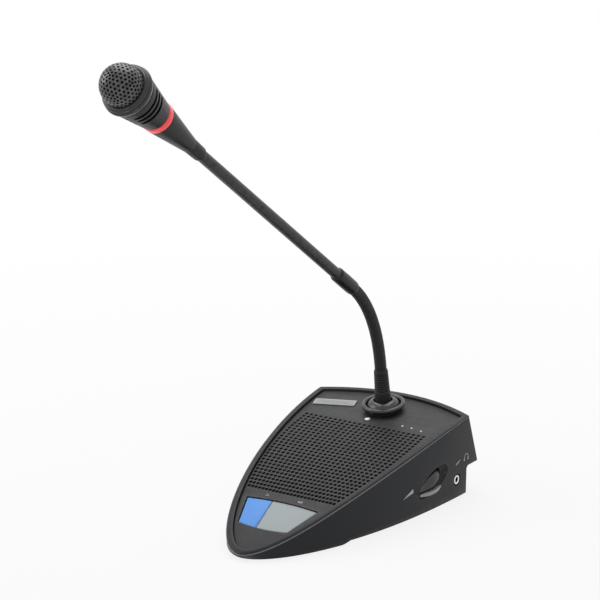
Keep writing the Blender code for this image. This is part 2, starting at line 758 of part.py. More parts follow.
def make_main_board(base):
    top = MAIN_BOARD_LOW + MAIN_BOARD_THICK
    board = piece("main_board", flat_prism(MAIN_BOARD_OUTLINE, MAIN_BOARD_LOW, top), "board_green", base)
    for name, (x, y) in MAIN_BOARD_POSTS.items():
        hole = rod_mesh(POST_BORE, MAIN_BOARD_LOW - 1, top + 1)
        combine(board, helper("board_hole_" + name, hole, base, (x, y, 0)))
        low = top + GAP
        head = [(0, low + 1.4), (1.6, low + 1.4), (2.2, low + 0.9), (2.2, low)]
        shank = [(1.1, low), (1.1, 6.0), (0, 5.4)]
        piece("board_screw_" + name, turned(head + shank, ROUND_COARSE), "steel", base, (x, y, 0))


# Volume wheel, headphone jack and line sockets

def make_volume(base):
    wheel_frame = frame_empty("wheel_axis", base, (WHEEL_X, WHEEL_Y, WHEEL_Z), (WHEEL_TILT, 0, 0))
    rim = wheel_profile(WHEEL_RADIUS, WHEEL_THICK)
    half = WHEEL_THICK / 2
    profile = [(WHEEL_BORE, half)] + rim + [(WHEEL_BORE, -half)]
    piece("volume_wheel", turned(profile, 32), "black_plastic", wheel_frame)
    seat = -half - 0.6
    deck = MAIN_BOARD_LOW + MAIN_BOARD_THICK + GAP
    tilt = Matrix.Rotation(WHEEL_TILT, 3, "X")
    centre = Vector((WHEEL_X, WHEEL_Y, WHEEL_Z))
    bm = bmesh.new()
    for x in (-6.0, 6.0):
        for v in (-6.0, 6.0):
            bm.verts.new(centre + tilt @ Vector((x, v, seat)))
    for x in (-7.0, 1.0):
        for v in (-6.0, 6.0):
            bm.verts.new((WHEEL_X + x, WHEEL_Y + v, deck))
    bmesh.ops.convex_hull(bm, input=bm.verts)
    pot = piece("volume_pot", bm, "black_plastic", base)
    shaft = rod_mesh(WHEEL_BORE - GAP, seat - 1, half + 0.6)
    combine(pot, helper("pot_shaft", shaft, wheel_frame), "UNION")


def make_jack(base):
    face = WALL_X - WALL - 0.5
    deck = MAIN_BOARD_LOW + MAIN_BOARD_THICK + GAP
    body = box_mesh((face - 13, JACK_Y - 4.4, deck), (face, JACK_Y + 4.4, JACK_Z + 4.4))
    jack = piece("phone_jack", body, "black_plastic", base)
    towards_x = (0, math.pi / 2, 0)
    bore = rod_mesh(JACK_BORE, -JACK_DEPTH, 1.0, ROUND_NECK)
    combine(jack, helper("jack_bore_cutter", bore, base, (face, JACK_Y, JACK_Z), towards_x))
    low = GAP
    high = WALL_X - face + 0.2
    ring = [
        (JACK_BORE + 0.1, low), (JACK_RING, low), (JACK_RING, high - 0.4),
        (JACK_RING - 0.4, high), (JACK_BORE + 0.5, high), (JACK_BORE + 0.1, high - 0.4),
    ]
    piece("jack_ring", turned(ring, 20), "silver", base, (face, JACK_Y, JACK_Z), towards_x)


def make_sockets(base):
    """Round line sockets: plain cups with their mouths at the back."""
    r = SOCKET_RADIUS
    floor = -SOCKET_DEPTH
    outside = [(0, floor - 2), (r, floor - 2), (r, 0.6), (r - 0.5, 1.0)]
    inside = [(SOCKET_BORE, 1.0), (SOCKET_BORE, floor), (0, floor)]
    towards_back = (-math.pi / 2, 0, 0)
    for side, x in (("left", -SOCKET_X), ("right", SOCKET_X)):
        cup = turned(outside + inside, 20)
        piece("line_socket_" + side, cup, "black_plastic", base, (x, UNDERCUT_Y, SOCKET_Z), towards_back)


# Neck, arm and head

def make_neck_seat(base):
    seat = frame_empty("neck_seat", base, panel_point(0, NECK_Y), (top_tilt(NECK_Y), 0, 0))
    bezel = [
        (6.4, 0.35), (13.0, 0.35), (13.2, 3.0), (14.4, 4.2), (14.8, 5.4), (14.3, 6.6), (13.1, 7.1),
        (12.0, 6.6), (11.5, 5.6), (11.0, 5.2), (8.6, 5.8), (6.4, 6.8),
    ]
    piece("neck_bezel", turned(bezel, 32), "black_plastic", seat)
    bush = [(BUSH_RADIUS, 1.9), (BUSH_RADIUS, -15), (BUSH_BORE, -15), (BUSH_BORE, 1.9)]
    piece("neck_bush", turned(bush, ROUND_HEAD), "brass", seat)
    top = -PANEL_THICK - 0.6
    nut = [(10.0, top), (10.0, top - 4), (7.3, top - 4), (7.3, top)]
    piece("neck_nut", turned(nut, 6), "steel", seat)
    boot = [(0, BOOT_LOW), (BOOT_LOW_RADIUS, BOOT_LOW)]
    for low in BOOT_GROOVES:
        share = (low - BOOT_LOW) / (BOOT_TOP - BOOT_LOW)
        r = BOOT_LOW_RADIUS + (BOOT_TOP_RADIUS - BOOT_LOW_RADIUS) * share
        boot += [(r, low), (r - 0.6, low + 0.4), (r - 0.6, low + 1.2), (r, low + 1.6)]
    boot += [(BOOT_TOP_RADIUS, BOOT_TOP - END_CONE - 0.3), (END_FLAT, BOOT_TOP), (0, BOOT_TOP)]
    piece("neck_boot", turned(boot, ROUND_NECK), "black_rubber", seat)


def make_neck(base):
    """Segments with coned ends, so that each can tilt on the next."""
    low = GAP / 2
    high = NECK_LENGTH / NECK_SEGMENTS - GAP / 2
    profile = [
        (0, low), (END_FLAT, low), (NECK_RADIUS, low + END_CONE),
        (NECK_RADIUS, high - END_CONE), (END_FLAT, high), (0, high),
    ]
    for k, (y, z, tilt) in enumerate(NECK_STATIONS, 1):
        segment = turned(profile, ROUND_NECK)
        piece(f"neck_segment_{k}", segment, "black_rubber", base, (0, y, z), (tilt, 0, 0))


def make_arm(arm):
    low = GAP / 2
    socket = ROD_RADIUS + SLIP
    collar = [
        (0, low), (END_FLAT, low), (COLLAR_RADIUS - 0.4, low + END_CONE + 0.2), (COLLAR_RADIUS, low + 2.0),
        (COLLAR_RADIUS, COLLAR_LENGTH - 1.0), (COLLAR_RADIUS - 0.4, COLLAR_LENGTH),
        (socket, COLLAR_LENGTH), (socket, COLLAR_LENGTH / 2), (0, COLLAR_LENGTH / 2),
    ]
    piece("neck_collar", turned(collar, ROUND_NECK), "black_plastic", arm)
    rod_low = COLLAR_LENGTH / 2 + GAP
    rod_high = CONE_START - 1
    rod = [(ROD_RADIUS, rod_low), (ROD_RADIUS, rod_high), (ROD_BORE, rod_high), (ROD_BORE, rod_low)]
    piece("neck_rod", turned(rod, ROUND_NECK), "black_paint", arm)
    sleeve = [
        (socket, SLEEVE_START), (SLEEVE_RADIUS - 0.2, SLEEVE_START), (SLEEVE_RADIUS, SLEEVE_START + 0.6),
        (CONE_RADIUS, CONE_START - GAP), (socket, CONE_START - GAP),
    ]
    piece("head_sleeve", turned(sleeve, ROUND_HEAD), "black_plastic", arm)
    cone_end = LIGHT_START - GAP
    wide = LIGHT_RADIUS - 0.3
    cone = [
        (CONE_RADIUS, CONE_START), (wide, cone_end),
        (wide - CONE_WALL, cone_end), (CONE_RADIUS - CONE_WALL, CONE_START),
    ]
    piece("head_cone", turned(cone, ROUND_HEAD), "black_plastic", arm)


def make_light_ring(arm):
    end = BODY_START - GAP
    ring = [
        (LIGHT_BORE, LIGHT_START), (LIGHT_RADIUS - 0.3, LIGHT_START), (LIGHT_RADIUS, LIGHT_START + 0.5),
        (LIGHT_RADIUS, end - 0.5), (LIGHT_RADIUS - 0.3, end), (LIGHT_BORE, end),
    ]
    piece("light_ring", turned(ring, ROUND_HEAD), "red_light", arm)
    board_low = LIGHT_START + 1.4
    board_radius = LIGHT_BORE - 0.4
    board_top = board_low + 1.2
    board = [(3.0, board_low), (board_radius, board_low), (board_radius, board_top), (3.0, board_top)]
    piece("ring_light_board", turned(board, ROUND_HEAD), "board_green", arm)


def make_head_body(arm):
    """Tapered body with grooves round it, then the flared rim that holds the ball grille."""
    end = RIM_START - GAP
    low_radius = LIGHT_RADIUS
    high_radius = RIM_RADIUS - 1.2

    def radius_at(z):
        return low_radius + (high_radius - low_radius) * (z - BODY_START) / (end - BODY_START)

    outer = [(low_radius, BODY_START)]
    for low in GROOVE_STARTS:
        high = low + GROOVE_WIDTH
        outer += [
            (radius_at(low), low), (radius_at(low) - GROOVE_DEPTH, low),
            (radius_at(high) - GROOVE_DEPTH, high), (radius_at(high), high),
        ]
    outer += [(high_radius, end)]
    inner = [(high_radius - BODY_WALL, end), (low_radius - BODY_WALL + 0.4, BODY_START)]
    piece("head_body", turned(outer + inner, ROUND_HEAD), "black_paint", arm)
    seat = BALL_RADIUS + 0.35
    rim = [
        (seat, RIM_START), (high_radius + 0.1, RIM_START), (RIM_RADIUS, RIM_START + 2.6),
        (RIM_RADIUS, RIM_START + 4.2), (RIM_RADIUS - 0.7, RIM_START + 6.0),
        (seat + 0.7, RIM_START + 7.4), (seat, RIM_START + 7.0),
    ]
    piece("grille_rim", turned(rim, ROUND_HEAD), "black_paint", arm)


def dome(radius, steps=6):
    """Radius and height of a quarter circle from its rim to the pole."""
    angles = [math.pi / 2 * i / steps for i in range(steps + 1)]
    return [(radius * math.cos(a) if i < steps else 0.0, radius * math.sin(a)) for i, a in enumerate(angles)]


def dome_shell(skirt, outer, inner):
    """A cup with a round end, centred on the middle of the ball."""
    outside = [(r, BALL_CENTRE + h) for r, h in reversed(dome(outer))] + [(outer, skirt)]
    inside = [(inner, skirt)] + [(r, BALL_CENTRE + h) for r, h in dome(inner)]
    return turned(outside + inside, ROUND_HEAD)


def make_ball(arm):
    inner = BALL_RADIUS - BALL_WALL
    piece("mesh_ball", dome_shell(RIM_START + 1.0, BALL_RADIUS, inner), "black_paint", arm)
    piece("foam_liner", dome_shell(RIM_START + 3.0, inner - GAP, inner - 2.6), "foam", arm)
    holder_top = HOLDER_START + 5.0
    holder = [(7.3, HOLDER_START), (10.0, HOLDER_START), (10.6, holder_top), (7.3, holder_top)]
    piece("capsule_holder", turned(holder, ROUND_HEAD), "black_rubber", arm)
    low = HOLDER_START - 0.5
    capsule = [(0, low), (6.6, low), (7.0, low + 0.4), (7.0, 293.6), (6.4, 294.2), (0, 294.2)]
    piece("capsule", turned(capsule, ROUND_HEAD), "silver", arm)


def main():
    clear_scene()
    base = frame_empty("unit_origin", None, (0, -ORIGIN_Y, 0))
    key_frame = frame_empty("key_frame", base, panel_point(0, KEY_Y), (top_tilt(KEY_Y), 0, 0))
    make_housing(base)
    make_bottom(base)
    make_top_panel(base, key_frame)
    make_lamps(base)
    make_blank_plate(base)
    make_keys(key_frame)
    make_speaker(base)
    make_main_board(base)
    make_volume(base)
    make_jack(base)
    make_sockets(base)
    make_neck_seat(base)
    make_neck(base)
    arm = frame_empty("arm_joint", base, (0, *ARM_START), (ARM_TILT, 0, 0))
    make_arm(arm)
    make_light_ring(arm)
    make_head_body(arm)
    make_ball(arm)


main()
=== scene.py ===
"""Looks of a desktop conference microphone unit, laid out as an add-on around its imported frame.

Lengths are in millimetres in the unit's own frame: x to the right of the person who speaks, y from the
nose of the base to its back, z up from the desk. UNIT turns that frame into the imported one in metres.
"""

import json
import math

import bmesh
import bpy
from bpy.props import FloatProperty, FloatVectorProperty, IntProperty, PointerProperty
from mathutils import Matrix, Vector
from mathutils.bvhtree import BVHTree


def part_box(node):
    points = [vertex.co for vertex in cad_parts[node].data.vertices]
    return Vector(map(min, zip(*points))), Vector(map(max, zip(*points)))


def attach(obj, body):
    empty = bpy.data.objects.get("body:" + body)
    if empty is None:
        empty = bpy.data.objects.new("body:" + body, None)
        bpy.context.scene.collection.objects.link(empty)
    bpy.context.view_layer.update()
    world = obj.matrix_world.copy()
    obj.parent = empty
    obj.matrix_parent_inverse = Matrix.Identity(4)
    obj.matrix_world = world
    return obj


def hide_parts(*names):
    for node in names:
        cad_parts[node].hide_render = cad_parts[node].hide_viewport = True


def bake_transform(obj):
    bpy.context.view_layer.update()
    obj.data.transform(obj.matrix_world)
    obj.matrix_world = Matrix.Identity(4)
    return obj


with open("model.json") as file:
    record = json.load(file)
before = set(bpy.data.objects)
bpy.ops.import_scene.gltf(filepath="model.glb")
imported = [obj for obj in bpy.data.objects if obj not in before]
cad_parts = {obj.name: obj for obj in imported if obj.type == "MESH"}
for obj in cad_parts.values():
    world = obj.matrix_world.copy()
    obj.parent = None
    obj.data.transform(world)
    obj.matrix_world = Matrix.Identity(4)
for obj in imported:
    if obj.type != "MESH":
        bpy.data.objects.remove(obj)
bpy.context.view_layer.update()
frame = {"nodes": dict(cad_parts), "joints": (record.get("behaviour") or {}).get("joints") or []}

bl_info = {
    "name": "Conference microphone unit",
    "version": (1, 0, 0),
    "blender": (4, 5, 0),
    "location": "View3D > Sidebar > Conference unit",
    "description": "Dresses the packed frame of a desktop conference microphone",
    "category": "Object",
}

# The unit's own frame
MM = 0.001
NOSE_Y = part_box("housing_shell")[0].y / MM
UNIT = Matrix.Scale(MM, 4) @ Matrix.Translation((0, NOSE_Y, 0))

# Base outline in plan and its heights
CORNER_Y = 182.5
HALF_WIDTH = 58.5
NOSE_POWER = 1.74
WIDTH_POWER = 0.55
BACK_BULGE = 14.5
NOSE_SETBACK = 3.0
FRONT_FLARE = 6.5
BACK_FLARE = -1.0
SIDE_STEPS = 44
BACK_STEPS = 10
CORNER_STEPS = 6
TOP_LENGTH = 180.0
NOSE_TOP = 5.0
CORNER_TOP = 55.4
TOP_CROWN = 27.0
FRONT_FLOOR = 0.6
REAR_FLOOR = 2.4
STEP_FRONT_Y = 56.0
STEP_BACK_Y = 63.0
BACK_RUN = 0.383 * (CORNER_TOP - FRONT_FLOOR)
UNDERCUT_Y = 181.0
UNDERCUT_Z = 21.0
FAR_BACK_Y = 250.0
BELOW_DESK = -5.0
FAR_SIDE = HALF_WIDTH + 20
WALL = 2.6
WALL_LEVELS = 7

# Recess for the top panel
RIM = 4.2
EDGE_FADE_Y = 110.0
EDGE_BACK_SHARE = 0.4
# Where the pale bead lies on the rim's rounded edge: a painted highlight line
RIM_HIGHLIGHT_PROFILE = (
    (0.02, 0.86), (-0.07, 0.78), (-0.07, 0.66), (0.0, 0.54), (0.1, 0.5), (0.2, 0.62), (0.2, 0.8),
)
EDGE_PROFILE = ((0.0, 0.8), (0.03, 0.66), (0.12, 0.55), (0.4, 0.24), (0.75, 0.06), (1.1, 0.0))
PANEL_DROP = 1.5
PANEL_THICK = 1.8
PANEL_GAP = 0.5
RECESS_DEPTH = PANEL_DROP + PANEL_THICK + 0.3
LEDGE_INSET = 6.4
LEDGE_THICK = 2.5
CAVITY_FRONT_Y = 10.0
OPENING_FRONT_Y = 12.0

# Loudspeaker grille
GRILLE_FRONT_Y = 58.8
GRILLE_BACK_Y = 145.8
GRILLE_FRONT_HALF = 32.3
GRILLE_BACK_HALF = 45.3
GRILLE_CROWN = 16.6
GRILLE_CUT = (-4, 2)

# Keys
KEY_Y = 36.2
KEY_FRONT = -10.6
KEY_BACK = 13.0
KEY_BOW = 1.8
KEY_END_STEPS = 8
KEY_FRONT_HALF = 18.4
KEY_BACK_HALF = 26.4
DIVIDER_FRONT = -4.5
DIVIDER_BACK = -8.2
KEY_SPLIT = 0.25
KEY_CLEARANCE = 0.5
KEY_PROUD = -0.5
KEY_LOW = -3.2
KEY_CORNER = 0.8
KEY_EDGE_STEPS = 4

# Volume wheel, jack and line sockets
WALL_X = 57.3
WHEEL_Y = 140.0
WHEEL_Z = 21.4
WHEEL_TILT = math.radians(20.0)
WHEEL_RADIUS = 20.0
WHEEL_THICK = 10.0
WHEEL_BORE = 3.1
WHEEL_CLEARANCE = 0.5
WHEEL_X = WALL_X + 0.9 - WHEEL_RADIUS
WHEEL_DOME = ((6.5, 0.0), (4.0, 0.8), (2.0, 2.1), (0.7, 3.8), (0.0, 5.2), (0.25, 6.1), (1.2, 6.6))
SCOOP_Y = 138.0
SCOOP_Z = 19.8
SCOOP_HALF = (4.8, 20.5, 9.0)
# The pale ledge under the wheel, whose colour paints the highlight on the scoop's lower lip
LIP_Y = 139.0
LIP_Z = 13.9
LIP_HALF = 13.4
LIP_INNER_X = 55.7
LIP_REACH = 2.7
LIP_THICK = 2.6
LIP_STEPS = 24
JACK_Y = 169.2
JACK_Z = 14.6
JACK_HOLE = 4.2
JACK_RING = 3.2
JACK_BORE = 1.9
SOCKET_X = 20.0
SOCKET_Z = 12.2
SOCKET_RADIUS = 7.4
SOCKET_BORE = 6.0
SOCKET_DEPTH = 10.0
PIN_CIRCLE = 3.4
PIN_PROFILE = ((0.5, -0.5), (0.5, 5.2), (0.25, 5.7))

# Lamps and blank plate
LAMPS = {
    "power_lamp": (-2.9, 154.4, 1.8),
    "status_lamp_1": (24.4, 154.0, 0.65),
    "status_lamp_2": (31.7, 153.4, 0.65),
    "status_lamp_3": (39.7, 152.0, 0.65),
}
PLATE_AT = (-36.4, 166.7)
PLATE_TURN = math.radians(15.0)
PLATE_SIZE = (29.0, 8.0, 0.5)
PLATE_LOW = 0.15
PLATE_RIBS = 5
LENS_PROFILE = ((0.5, 0.27), (0.85, 0.12), (1.0, -0.05), (1.0, -4.0))

# Neck seat
NECK_Y = 170.2
NECK_HOLE = 6.4
BOOT_LOW = 2.3
BOOT_TOP = 29.6
BOOT_LOW_RADIUS = 5.5
BOOT_TOP_RADIUS = 4.7
BOOT_RIBS = 8
BOOT_RIB_LOW = 14.2
BOOT_RIB_HIGH = 27.0
BEZEL_RING = (
    (11.5, 0.35), (12.6, 0.35), (13.0, 2.2), (14.2, 3.2), (14.7, 4.3), (14.3, 5.5), (13.2, 6.1),
    (12.1, 5.7), (11.6, 4.7), (11.5, 3.4),
)
BEZEL_DISH = (
    (6.4, 0.35), (10.9, 0.35), (10.9, 3.9), (10.5, 5.0), (9.4, 6.3), (7.9, 7.3), (6.6, 7.7), (6.4, 7.5),
)

# Gooseneck
NECK_RADIUS = 4.0
BALL_STEPS = 8
BALL_GAP = 0.08
NOD_SPARE = 1.5

# Arm stations from the end of the gooseneck
COLLAR_LENGTH = 25.0
COLLAR_RADIUS = 4.75
ROD_RADIUS = 3.68
SLEEVE_START = 204.7
CONE_START = 217.0
LIGHT_START = 253.2
BODY_START = 257.8
SLOT_START = 269.6
SLOT_PITCH = 4.1
SLOT_WIDTH = 2.4
SLOT_DEPTH = 1.6
SLOT_STEPS = 24
STRIP = math.radians(18)
FIRST_STRIP = math.radians(-80)
RIM_START = 285.0
BALL_CENTRE = 295.1
BALL_RADIUS = 12.6
SLEEVE_RADIUS = 4.6
CONE_RADIUS = 4.9
LIGHT_RADIUS = 9.9
LIGHT_BORE = 8.3
RIM_RADIUS = 15.7
RIM_HEIGHT = 7.3
RIM_RIDGES = (
    (1.2, 0.0), (0.2, 2.2), (0.0, 3.0), (0.2, 3.8), (1.4, 4.3), (1.4, 4.9), (0.6, 5.3), (0.7, 6.1),
    (1.9, 6.5), (2.1, 7.1),
)
MESH_THICK = 0.6

# Facets round the turned pieces
ROUND_FINE = 96
ROUND = 64
ROUND_MIDDLE = 48
ROUND_SMALL = 32
ROUND_LAMP = 24
ROUND_HOLE = 12

# The frame's joints by the body that each one carries
JOINT_OF = {joint["child"]: joint for joint in frame["joints"]}
NECK_BODIES = ["base"] + [f"neck_{k}" for k in range(1, 8)] + ["arm"]


def top_height(y):
    t = y / TOP_LENGTH
    return NOSE_TOP + (CORNER_TOP - NOSE_TOP) * t + TOP_CROWN * t * (1 - t)


def top_tilt(y):
    return math.atan((CORNER_TOP - NOSE_TOP + TOP_CROWN * (1 - 2 * y / TOP_LENGTH)) / TOP_LENGTH)


def on_panel(x, y):
    """Frame on the panel's face: z is its normal, y runs towards the back."""
    return Matrix.Translation((x, y, top_height(y) - PANEL_DROP)) @ Matrix.Rotation(top_tilt(y), 4, "X")


def joint_point(body):
    """A joint's place in the unit's own frame."""
    return UNIT.inverted() @ Vector(JOINT_OF[body]["pos_m"])


ARM_SIDE = Vector(JOINT_OF["arm"]["axis"])
ARM_TILT = math.atan2(ARM_SIDE.z, ARM_SIDE.y)
ARM = Matrix.Translation(joint_point("arm")) @ Matrix.Rotation(ARM_TILT, 4, "X")
SEAT = on_panel(0, NECK_Y)
KEYS = on_panel(0, KEY_Y)
WHEEL = Matrix.Translation((WHEEL_X, WHEEL_Y, WHEEL_Z)) @ Matrix.Rotation(WHEEL_TILT, 4, "X")
SCOOP = Matrix.Translation((WALL_X, SCOOP_Y, SCOOP_Z)) @ Matrix.Rotation(WHEEL_TILT, 4, "X")
TOWARDS_X = Matrix.Rotation(math.pi / 2, 4, "Y")
TOWARDS_BACK = Matrix.Rotation(-math.pi / 2, 4, "X")
JACK = Matrix.Translation((WALL_X, JACK_Y, JACK_Z)) @ TOWARDS_X
PLATE = on_panel(*PLATE_AT) @ Matrix.Rotation(PLATE_TURN, 4, "Z")


# Settings that a user would change

class UnitColours(bpy.types.PropertyGroup):
    """Colours of the finishes."""

    wall: FloatVectorProperty(
        name="Housing", description="Moulded plastic of the housing", subtype="COLOR",
        default=(0.0105, 0.0115, 0.014), min=0, max=1,
    )
    panel: FloatVectorProperty(
        name="Top panel", description="Moulded plastic of the top panel", subtype="COLOR",
        default=(0.0205, 0.0212, 0.0235), min=0, max=1,
    )
    black: FloatVectorProperty(
        name="Black parts", description="Black plastic and paint of neck and head", subtype="COLOR",
        default=(0.010, 0.0103, 0.0115), min=0, max=1,
    )
    priority: FloatVectorProperty(
        name="Left key", description="Plastic of the narrow key", subtype="COLOR",
        default=(0.127, 0.38, 0.95), min=0, max=1,
    )
    speak: FloatVectorProperty(
        name="Right key", description="Plastic of the wide key", subtype="COLOR",
        default=(0.42, 0.475, 0.485), min=0, max=1,
    )
    ring: FloatVectorProperty(
        name="Light ring", description="Translucent ring of the microphone head", subtype="COLOR",
        default=(0.8, 0.035, 0.04), min=0, max=1,
    )


class BaseShape(bpy.types.PropertyGroup):
    """Shape of the base and its grille."""

    corner: FloatProperty(
        name="Corner", description="Reach of the rounding at the two back corners", unit="LENGTH",
        default=1.0 * MM, min=0.3 * MM, max=1.5 * MM,
    )
    edge: FloatProperty(
        name="Rim edge", description="Rounding of the housing's rim", unit="LENGTH",
        default=2.2 * MM, min=0.2 * MM, max=3.0 * MM,
    )
    rows: IntProperty(name="Rows", description="Rows of grille holes", default=26, min=5, max=30)
    columns: IntProperty(name="Columns", description="Columns of grille holes", default=25, min=5, max=30)
    hole: FloatProperty(
        name="Hole", description="Radius of a grille hole", unit="LENGTH",
        default=1.27 * MM, min=0.3 * MM, max=1.4 * MM,
    )
    key_edge: FloatProperty(
        name="Key edge", description="Rounding of the keys", unit="LENGTH",
        default=0.75 * MM, min=0.1 * MM, max=1.0 * MM,
    )


class NeckShape(bpy.types.PropertyGroup):
    """Shape of the gooseneck."""

    ribs: IntProperty(
        name="Ribs", description="Ribs on one segment of the gooseneck", default=8, min=3, max=14,
    )
    depth: FloatProperty(
        name="Rib depth", description="Depth of the groove between two ribs", unit="LENGTH",
        default=0.22 * MM, min=0.0, max=0.6 * MM,
    )


class HeadShape(bpy.types.PropertyGroup):
    """Shape of the microphone head."""

    frequency: IntProperty(
        name="Mesh", description="Hole spacings along one edge of the ball's icosahedron",
        default=6, min=3, max=10,
    )
    hole: FloatProperty(
        name="Mesh hole", description="Reach of a hole in the ball from its middle", unit="LENGTH",
        default=0.78 * MM, min=0.2 * MM, max=1.1 * MM,
    )
    slots: IntProperty(
        name="Slots", description="Slots above each other in the body", default=3, min=1, max=4,
    )
    slot_groups: IntProperty(
        name="Slot groups", description="Groups of slots round the body", default=3, min=2, max=6,
    )


# Finishes

COLOUR = "NodeSocketColor"
VALUE = "NodeSocketFloat"
# Default colour of the paler edges: rubbed wear, and the painted highlight line along the housing's rim
PALE = (0.16, 0.16, 0.165)


class Wires:
    """Adds and joins nodes in one tree."""

    def __init__(self, tree):
        self.tree = tree

    def node(self, kind, **settings):
        made = self.tree.nodes.new(kind)
        for name, value in settings.items():
            setattr(made, name, value)
        return made

    def link(self, source, target):
        self.tree.links.new(source, target)

    def math(self, operation, *values):
        made = self.node("ShaderNodeMath", operation=operation)
        for socket, value in zip(made.inputs, values):
            if isinstance(value, (int, float)):
                socket.default_value = value
            else:
                self.link(value, socket)
        return made.outputs[0]

    def noise(self, vector, scale, detail=2.0):
        made = self.node("ShaderNodeTexNoise")
        made.inputs["Detail"].default_value = detail
        if isinstance(scale, (int, float)):
            made.inputs["Scale"].default_value = scale
        else:
            self.link(scale, made.inputs["Scale"])
        self.link(vector, made.inputs["Vector"])
        return made.outputs["Fac"]

    def steps(self, value, low, high):
        """The value spread from low..high to 0..1, and held there."""
        made = self.node("ShaderNodeMapRange")
        self.link(value, made.inputs["Value"])
        made.inputs["From Min"].default_value = low
        made.inputs["From Max"].default_value = high
        return made.outputs["Result"]

    def mix(self, factor, first, second):
        """The first colour at 0, the second at 1. A mix of colours has its sockets at these numbers."""
        made = self.node("ShaderNodeMix", data_type="RGBA")
        for number, source in ((0, factor), (6, first), (7, second)):
            self.link(source, made.inputs[number])
        return made.outputs[2]

    def tint(self, colour, brightness):
        made = self.node("ShaderNodeHueSaturation")
        self.link(brightness, made.inputs["Value"])
        self.link(colour, made.inputs["Color"])
        return made.outputs["Color"]


def new_group(name, inputs, outputs):
    tree = bpy.data.node_groups.new(name, "ShaderNodeTree")
    for label, kind, value in inputs:
        tree.interface.new_socket(name=label, in_out="INPUT", socket_type=kind).default_value = value
    for label, kind in outputs:
        tree.interface.new_socket(name=label, in_out="OUTPUT", socket_type=kind)
    wires = Wires(tree)
    return wires, wires.node("NodeGroupInput").outputs, wires.node("NodeGroupOutput").inputs


def grain_group():
    """Fine grain of a moulded or painted surface, with slow drifts in colour and gloss."""
    wires, given, result = new_group(
        "Moulded grain",
        [
            ("Colour", COLOUR, (0.05, 0.05, 0.05, 1)), ("Grains per metre", VALUE, 2500.0),
            ("Colour drift", VALUE, 0.4), ("Roughness", VALUE, 0.5), ("Roughness drift", VALUE, 0.2),
        ],
        [("Colour", COLOUR), ("Roughness", VALUE), ("Height", VALUE)],
    )
    place = wires.node("ShaderNodeTexCoord").outputs["Object"]
    fine = wires.noise(place, given["Grains per metre"])
    broad = wires.noise(place, 60.0, 4.0)
    drift = wires.math("SUBTRACT", broad, 0.5)
    brightness = wires.math("MULTIPLY_ADD", drift, given["Colour drift"], 1.0)
    wires.link(wires.tint(given["Colour"], brightness), result["Colour"])
    both = wires.math("ADD", drift, wires.math("SUBTRACT", fine, 0.5))
    rough = wires.math("MULTIPLY_ADD", both, given["Roughness drift"], given["Roughness"])
    wires.link(rough, result["Roughness"])
    wires.link(fine, result["Height"])
    return wires.tree


def edge_wear_and_highlight_group():
    """Paler edges: rubbed wear, and on some finishes a painted highlight where an edge would catch the
    light.
    """
    wires, given, result = new_group(
        "Rubbed edges",
        [
            ("Colour", COLOUR, (0, 0, 0, 1)), ("Rubbed colour", COLOUR, (0.2, 0.2, 0.2, 1)),
            ("Amount", VALUE, 0.3),
        ],
        [("Colour", COLOUR)],
    )
    place = wires.node("ShaderNodeTexCoord").outputs["Object"]
    edge = wires.steps(wires.node("ShaderNodeNewGeometry").outputs["Pointiness"], 0.52, 0.6)
    broken = wires.steps(wires.noise(place, 260.0, 3.0), 0.2, 0.55)
    amount = wires.math("MULTIPLY", wires.math("MULTIPLY", edge, broken), given["Amount"])
    wires.link(wires.mix(amount, given["Colour"], given["Rubbed colour"]), result["Colour"])
    return wires.tree


def dust_group():
    """A thin veil of dust on what faces up."""
    wires, given, result = new_group(
        "Settled dust",
        [
            ("Colour", COLOUR, (0, 0, 0, 1)), ("Dust colour", COLOUR, (0.3, 0.29, 0.27, 1)),
            ("Amount", VALUE, 0.05),
        ],
        [("Colour", COLOUR)],
    )
    place = wires.node("ShaderNodeTexCoord").outputs["Object"]
    split = wires.node("ShaderNodeSeparateXYZ")
    wires.link(wires.node("ShaderNodeNewGeometry").outputs["Normal"], split.inputs[0])
    upward = wires.steps(split.outputs["Z"], 0.5, 1.0)
    patches = wires.steps(wires.noise(place, 140.0, 5.0), 0.35, 0.75)
    amount = wires.math("MULTIPLY", wires.math("MULTIPLY", upward, patches), given["Amount"])
    wires.link(wires.mix(amount, given["Colour"], given["Dust colour"]), result["Colour"])
    return wires.tree


def brushed_group():
    """Fine lines of brushed or rolled metal along x."""
    wires, given, result = new_group(
        "Brushed lines",
        [
            ("Colour", COLOUR, (0.5, 0.5, 0.5, 1)), ("Lines per metre", VALUE, 4000.0),
            ("Roughness", VALUE, 0.35),
        ],
        [("Colour", COLOUR), ("Roughness", VALUE), ("Height", VALUE)],
    )
    stretch = wires.node("ShaderNodeMapping")
    stretch.inputs["Scale"].default_value = (0.03, 1.0, 1.0)
    wires.link(wires.node("ShaderNodeTexCoord").outputs["Object"], stretch.inputs["Vector"])
    lines = wires.noise(stretch.outputs["Vector"], given["Lines per metre"], 3.0)
    drift = wires.math("SUBTRACT", lines, 0.5)
    brightness = wires.math("MULTIPLY_ADD", drift, 0.5, 1.0)
    wires.link(wires.tint(given["Colour"], brightness), result["Colour"])
    wires.link(wires.math("MULTIPLY_ADD", drift, 0.3, given["Roughness"]), result["Roughness"])
    wires.link(lines, result["Height"])
    return wires.tree


def trace_group():
    """Lacquered board with copper tracks under it."""
    wires, given, result = new_group(
        "Board tracks",
        [("Board colour", COLOUR, (0.02, 0.13, 0.06, 1)), ("Track colour", COLOUR, (0.05, 0.26, 0.12, 1))],
        [("Colour", COLOUR), ("Height", VALUE)],
    )
    brick = wires.node("ShaderNodeTexBrick")
    brick.inputs["Scale"].default_value = 160.0
    brick.inputs["Mortar Size"].default_value = 0.07
    wires.link(wires.node("ShaderNodeTexCoord").outputs["Object"], brick.inputs["Vector"])
    shown = wires.mix(brick.outputs["Fac"], given["Board colour"], given["Track colour"])
    wires.link(shown, result["Colour"])
    wires.link(brick.outputs["Fac"], result["Height"])
    return wires.tree


